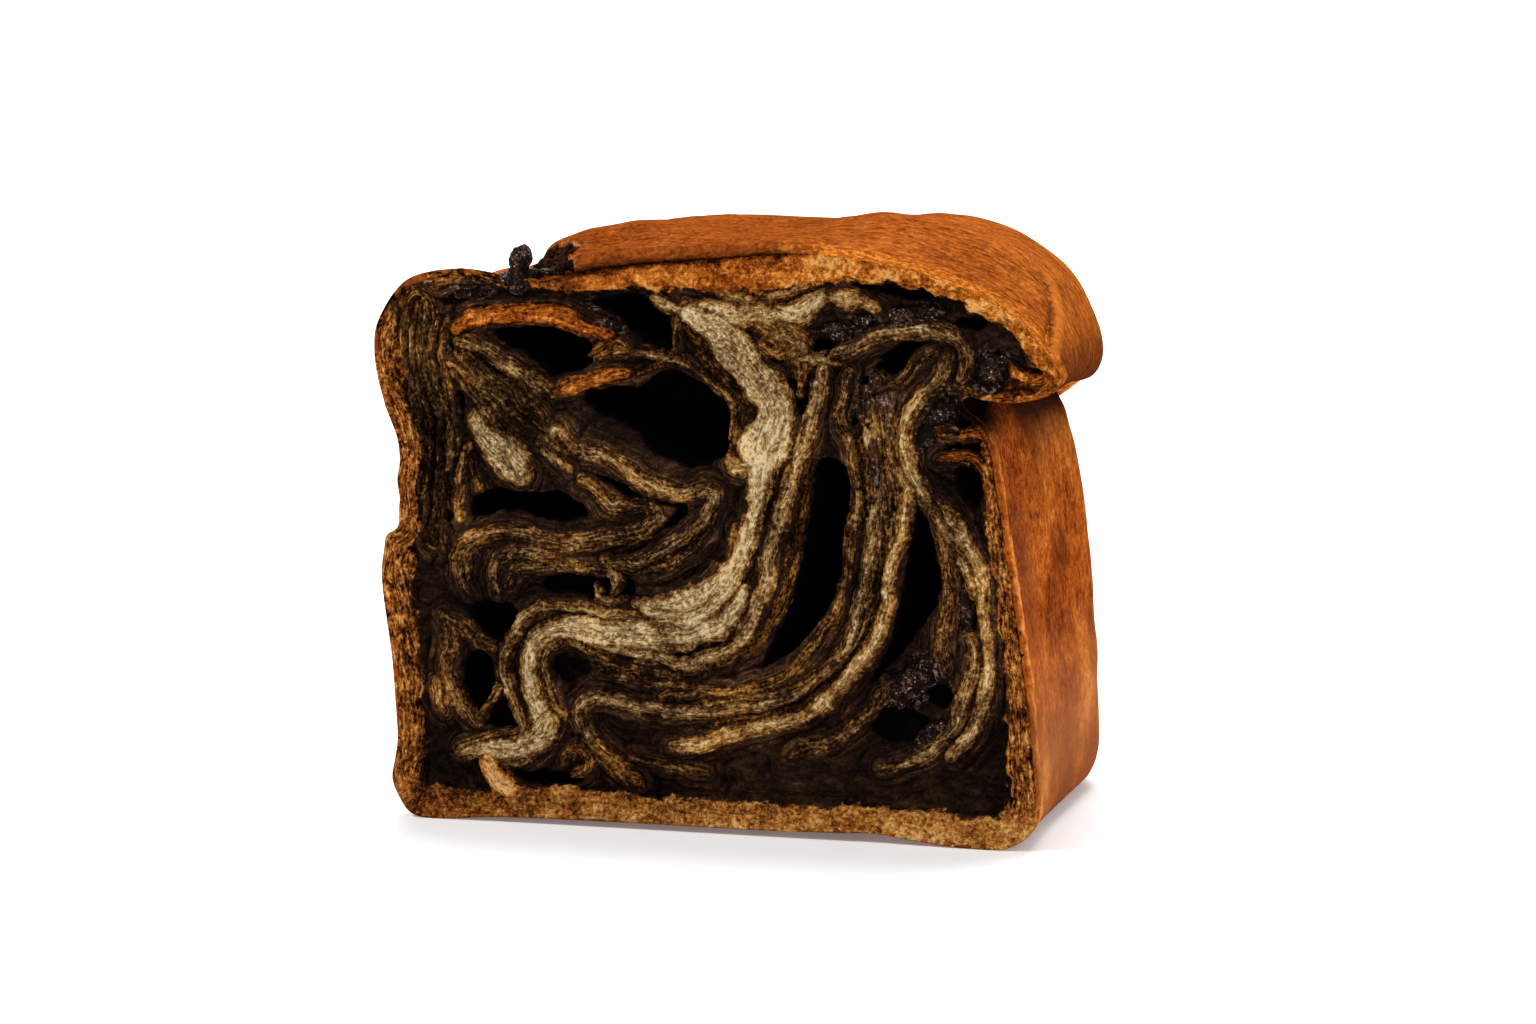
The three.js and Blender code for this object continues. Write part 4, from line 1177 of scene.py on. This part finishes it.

# painted light: the walls are made lighter than the top, to make up for the dimmer light they get
light = 0.44 + 0.19 * side + (cloud - 0.5) * 0.6 + (pores - 0.5) * 0.85 + (wrinkle - 0.5) * 0.6
# painted highlight: the raised ridge along the right wall's front edge is lighter
light = light + side * ((blaze - 0.5) * 1.4 + (pits - 0.5) * 0.85) + baked.attribute("ridge") * 0.32
light = light + top * across.ramp(0.01, 0.045) * (0.1 + (wrinkle.ramp(0.36, 0.6) - 0.5) * 0.1)
colour = baked.ramp(light, BAKED)
stained = (stain + (wrinkle - 0.5) * 0.2).ramp(0.48, 0.62) * side
colour = baked.mix(stained * 0.6, colour, srgb(88, 38, 20))
bruise = back.ramp(2.0, 4.5) * back.fade(8.0, 20.0) * up.ramp(0.028, 0.042) * up.fade(0.056, 0.066)
mottle = (blaze + (pits - 0.5) * 0.8).ramp(0.4, 0.6)
colour = baked.mix(bruise * side * (0.25 + mottle * 0.6), colour, srgb(96, 46, 38))
colour = baked.mix(side * 0.5, colour, WALL_TINT, blend="MULTIPLY")
rosy = up.fade(0.014, 0.042) * side * back.ramp(0.5, 3.0)
colour = baked.mix(rosy * 0.45, colour, srgb(182, 114, 74))

# %% [markdown]
# The crust gets painted shade under the overhang, on the left shoulder, at the top's right end, and in the
# fold and the crease. The fold's raised edge gets a painted highlight.

# %% Shade and folds
# painted shade: under the overhang, on the left shoulder, at the top's right end, and in the fold's groove
under = up.ramp(0.066, 0.077) * 0.7 + up.ramp(0.056, 0.074) * back.ramp(14.0, 28.0) * 0.5
under = under * side * across.ramp(0.015, 0.04) * depthwise.fade(0.024, 0.036)
left = across.fade(-0.062, -0.02) * up.ramp(0.075, 0.096) * 0.6
end = top * across.ramp(0.05, 0.062) * up.fade(0.079, 0.092) * 0.85
fold_gap = baked.attribute("fold_gap") + (pores - 0.5) * 0.35
fold_share = baked.attribute("fold_share")
groove = fold_gap.ramp(-2.4, -0.3) * fold_gap.fade(-0.1, 0.7) * fold_share
lit = fold_gap.ramp(0.4, 1.0) * fold_gap.fade(1.0, 3.6) * fold_share
shade = (under + left + end + groove * 0.55).clamped()
colour = baked.mix(shade, colour, srgb(52, 24, 14))
# painted deep shadow in the crease behind the lip and in the notch under the overhang
colour = baked.mix((baked.attribute("crease") * 0.95).clamped(), colour, srgb(20, 9, 5))
# painted highlight on the fold's raised edge
colour = baked.mix(lit * 0.5, colour, srgb(216, 124, 46))

# %% [markdown]
# The top's front edge is crumbly, its broken end is dark filling with painted shade inside a rim with a
# painted highlight, and the base is a little darker than the walls.

# %% Edges, and the crust's finish
speckled = (pores + (wrinkle - 0.5) * 0.5).ramp(0.44, 0.64)
rough_edge = (back.fade(0.0, 8.0) * top * across.ramp(0.0, 0.025) + (pores - 0.5) * 0.9).ramp(0.3, 0.95)
colour = baked.mix(rough_edge * 0.8, colour, baked.mix(speckled, srgb(160, 80, 20), srgb(222, 138, 52)))
broken = baked.attribute("broken") + (pores - 0.5) * 0.6
# painted highlight on the broken end's ragged rim
colour = baked.mix(broken.ramp(0.1, 0.35) * speckled * 0.7, colour, srgb(206, 142, 100))
# inside the broken end: dark filling with painted shade
filling_and_shade = baked.mix(speckled * 0.35, srgb(7, 4, 3), srgb(96, 58, 42))
colour = baked.mix(broken.ramp(0.35, 0.6), colour, filling_and_shade)
colour = baked.mix(up.fade(0.001, 0.014) * 0.35, colour, srgb(96, 46, 18))
roughness = 0.62 + (pores - 0.5) * 0.2 + (cloud - 0.5) * 0.15
height = pores * 0.7 + wrinkle * (0.9 - 0.2 * side) + pits * side * 2.0
baked.done(crust, colour, roughness, height, distance=0.0008, strength=0.9)

# %% [markdown]
# ## Lumps of filling
#
# Where the filling gathered it stands out between the sheets, pebbly and glossy. Each lump is a fine ball,
# squashed and turned into place, whose skin is pushed in and out by noise at two scales.

# %% The lumps' shapes
def pebbly(mesh, points, seed):
    """Moves a lump's points in and out along their directions from its middle."""
    middle = points.mean(0)
    away = points - middle
    a, b = points[:, 0] + 0.7 * points[:, 1], points[:, 2] - 0.6 * points[:, 1]
    push = 1 + 0.13 * noise(a / 2.4, b / 2.4, seed, 1) + 0.09 * noise(a / 0.75, b / 0.75, seed + 7, 2)
    for vert, place in zip(mesh.verts, middle + away * push[:, None]):
        vert.co = place


def lump_mesh(mesh, centre, radii, tilt, seed):
    """Adds one lump to a bmesh in mm."""
    ball = bmesh.new()
    bmesh.ops.create_icosphere(ball, subdivisions=5, radius=1)
    turn = Matrix.Rotation(-math.radians(tilt), 4, "Y")
    place = Matrix.Translation(centre) @ turn @ Matrix.Diagonal((*radii, 1))
    bmesh.ops.transform(ball, matrix=place, verts=ball.verts)
    pebbly(ball, np.array([vert.co[:] for vert in ball.verts]), seed)
    data = bpy.data.meshes.new("lump")
    ball.to_mesh(data)
    ball.free()
    mesh.from_mesh(data)
    bpy.data.meshes.remove(data)


LUMP_BACK = 1.2

lumps_mesh = bmesh.new()
for number, (x, z, wide, high, tilt) in enumerate(LUMPS):
    thick = min(wide, high) * 0.9 + 0.6
    lump_mesh(lumps_mesh, (x, CUT_Y + LUMP_BACK + thick, z), (wide, thick, high), tilt, 100 + number)
filling_lumps = finish_mesh("filling_lumps", lumps_mesh)

# %% [markdown]
# A knob of filling came out where the top broke. It is a stack of small lumps: x, how far behind the cut, z,
# half width and half height.

# %% The knob
KNOB = [
    (-34.0, 1.6, 100.7, 2.1, 2.4), (-34.5, 1.2, 97.7, 1.9, 2.3), (-34.0, 0.9, 95.8, 1.7, 1.5),
    (-31.6, 1.5, 98.2, 1.5, 0.9), (-29.2, 1.7, 98.4, 1.4, 0.7), (-36.8, 1.3, 97.4, 1.5, 0.9)]

knob_mesh = bmesh.new()
for number, (x, back, z, wide, high) in enumerate(KNOB):
    lump_mesh(knob_mesh, (x, CUT_Y + back, z), (wide, wide, high), 0, 200 + number)
filling_knob = finish_mesh("filling_knob", knob_mesh)

# %% [markdown]
# Chocolate filling is nearly black, with a warm dull gloss, and pale specks on it are painted glints.

# %% The lumps' finish
# the dark stops are the filling's colour, the palest ones painted glints
LUMP_COLOURS_AND_GLINTS = [
    (0.0, srgb(5, 3, 2)), (0.46, srgb(18, 10, 7)), (0.58, srgb(44, 28, 21)), (0.72, srgb(106, 76, 62)),
    (1.0, srgb(176, 144, 126))]

lumpy = Finish("filling", Specular_IOR_Level=0.04)
place = lumpy.node("ShaderNodeTexCoord", out="Object")
patch = lumpy.noise(place, 420.0, 3.0, 0.55)
grain = lumpy.noise(place, 1500.0, 3.0, 0.7)
glint_specks = lumpy.noise(place, 2300.0, 2.0, 0.6)
colour = lumpy.ramp(grain + (patch - 0.5) * 0.7, LUMP_COLOURS_AND_GLINTS)
# painted glints: small pale specks that stand in for light caught by the filling
colour = lumpy.mix(glint_specks.ramp(0.64, 0.7) * patch.ramp(0.44, 0.58), colour, srgb(226, 208, 194))
roughness = 0.42 + (patch - 0.5) * 0.4
for piece in (filling_lumps, filling_knob):
    lumpy.done(piece, colour, roughness, grain * 0.8 + patch * 0.7, distance=0.0012)

# %% [markdown]
# Every piece rides the model's one body and stands for its one part.

# %% Ride the body, and hide the CAD part
for piece, slot in (
        (cut_face, "crumb"), (crust, "crust"), (filling_lumps, "filling"), (filling_knob, "filling")):
    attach(piece, "root")
    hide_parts("babka")

# %% [markdown]
# ## Floor, light and camera
#
# A pale floor curves up into a backdrop far behind the loaf.

# %% Floor and backdrop
FLOOR_SIDE, FLOOR_FRONT = 4, -3
BEND_START, BEND_RADIUS, BACKDROP_TOP = 1.6, 0.9, 4.0


def make_floor():
    """The floor and the backdrop: one edge carried back, round a quarter circle and up."""
    mesh = bmesh.new()
    edge = [mesh.verts.new((x, FLOOR_FRONT, 0)) for x in (-FLOOR_SIDE, FLOOR_SIDE)]
    rim = [mesh.edges.new(edge)]
    profile = [
        (BEND_START + BEND_RADIUS * math.sin(turn), BEND_RADIUS - BEND_RADIUS * math.cos(turn))
        for turn in np.linspace(0, math.pi / 2, 13)]
    profile.append((BEND_START + BEND_RADIUS, BACKDROP_TOP))
    for y, z in profile:
        carried = bmesh.ops.extrude_edge_only(mesh, edges=rim)["geom"]
        rim = [item for item in carried if isinstance(item, bmesh.types.BMEdge)]
        for vert in (item for item in carried if isinstance(item, bmesh.types.BMVert)):
            vert.co.y, vert.co.z = y, z
    bmesh.ops.recalc_face_normals(mesh, faces=mesh.faces)
    data = bpy.data.meshes.new("floor")
    mesh.to_mesh(data)
    mesh.free()
    data.shade_smooth()
    piece = bpy.data.objects.new("floor", data)
    bpy.context.scene.collection.objects.link(piece)
    paper = Finish("paper", Roughness=0.9)
    paper.put(paper.shader.inputs["Base Color"], (0.93, 0.93, 0.93, 1))
    paper.put(paper.shader.inputs["Emission Color"], (1, 1, 1, 1))
    paper.put(paper.shader.inputs["Emission Strength"], 0.14)
    data.materials.append(paper.material)


make_floor()

# %% [markdown]
# The key light comes from the upper left, a weaker one fills from the right, and one lights the backdrop.

# %% Light
def area_light(name, place, aim, size, power, colour=(1, 1, 1)):
    data = bpy.data.lights.new(name, "AREA")
    data.shape = "DISK"
    data.size = size
    data.energy = power
    data.color = colour
    lamp = bpy.data.objects.new(name, data)
    lamp.location = place
    lamp.rotation_euler = (Vector(aim) - Vector(place)).to_track_quat("-Z", "Y").to_euler()
    bpy.context.scene.collection.objects.link(lamp)


area_light("key", (-0.75, -0.8, 1.2), (0, 0, 0.05), 0.4, 14.2)
area_light("fill", (1.3, -0.55, 0.6), (0, 0, 0.05), 0.9, 5.2)
area_light("backdrop_light", (0, 1.2, 3.2), (0, 2.2, 0.3), 2.0, 120)
world = bpy.data.worlds.new("studio")
bpy.context.scene.world = world
world.use_nodes = True
world.node_tree.nodes["Background"].inputs["Color"].default_value = (1, 1, 1, 1)
world.node_tree.nodes["Background"].inputs["Strength"].default_value = 0.3
bpy.context.scene.view_settings.view_transform = "Standard"

# %% [markdown]
# The camera stands a little to the right of the cut face's middle and looks slightly down at the loaf.

# %% Camera
AZIMUTH, ELEVATION = math.radians(15.9), math.radians(6.5)
DISTANCE = 0.6709
AIM = Vector((0.000327, 0, 0.052678))
lens = bpy.data.cameras.new("camera")
lens.lens = 85
lens.sensor_width = 36
camera = bpy.data.objects.new("camera", lens)
away = Vector((
    math.sin(AZIMUTH) * math.cos(ELEVATION), -math.cos(AZIMUTH) * math.cos(ELEVATION), math.sin(ELEVATION)))
camera.location = AIM + DISTANCE * away
camera.rotation_euler = (-away).to_track_quat("-Z", "Y").to_euler()
bpy.context.scene.collection.objects.link(camera)
bpy.context.scene.camera = camera
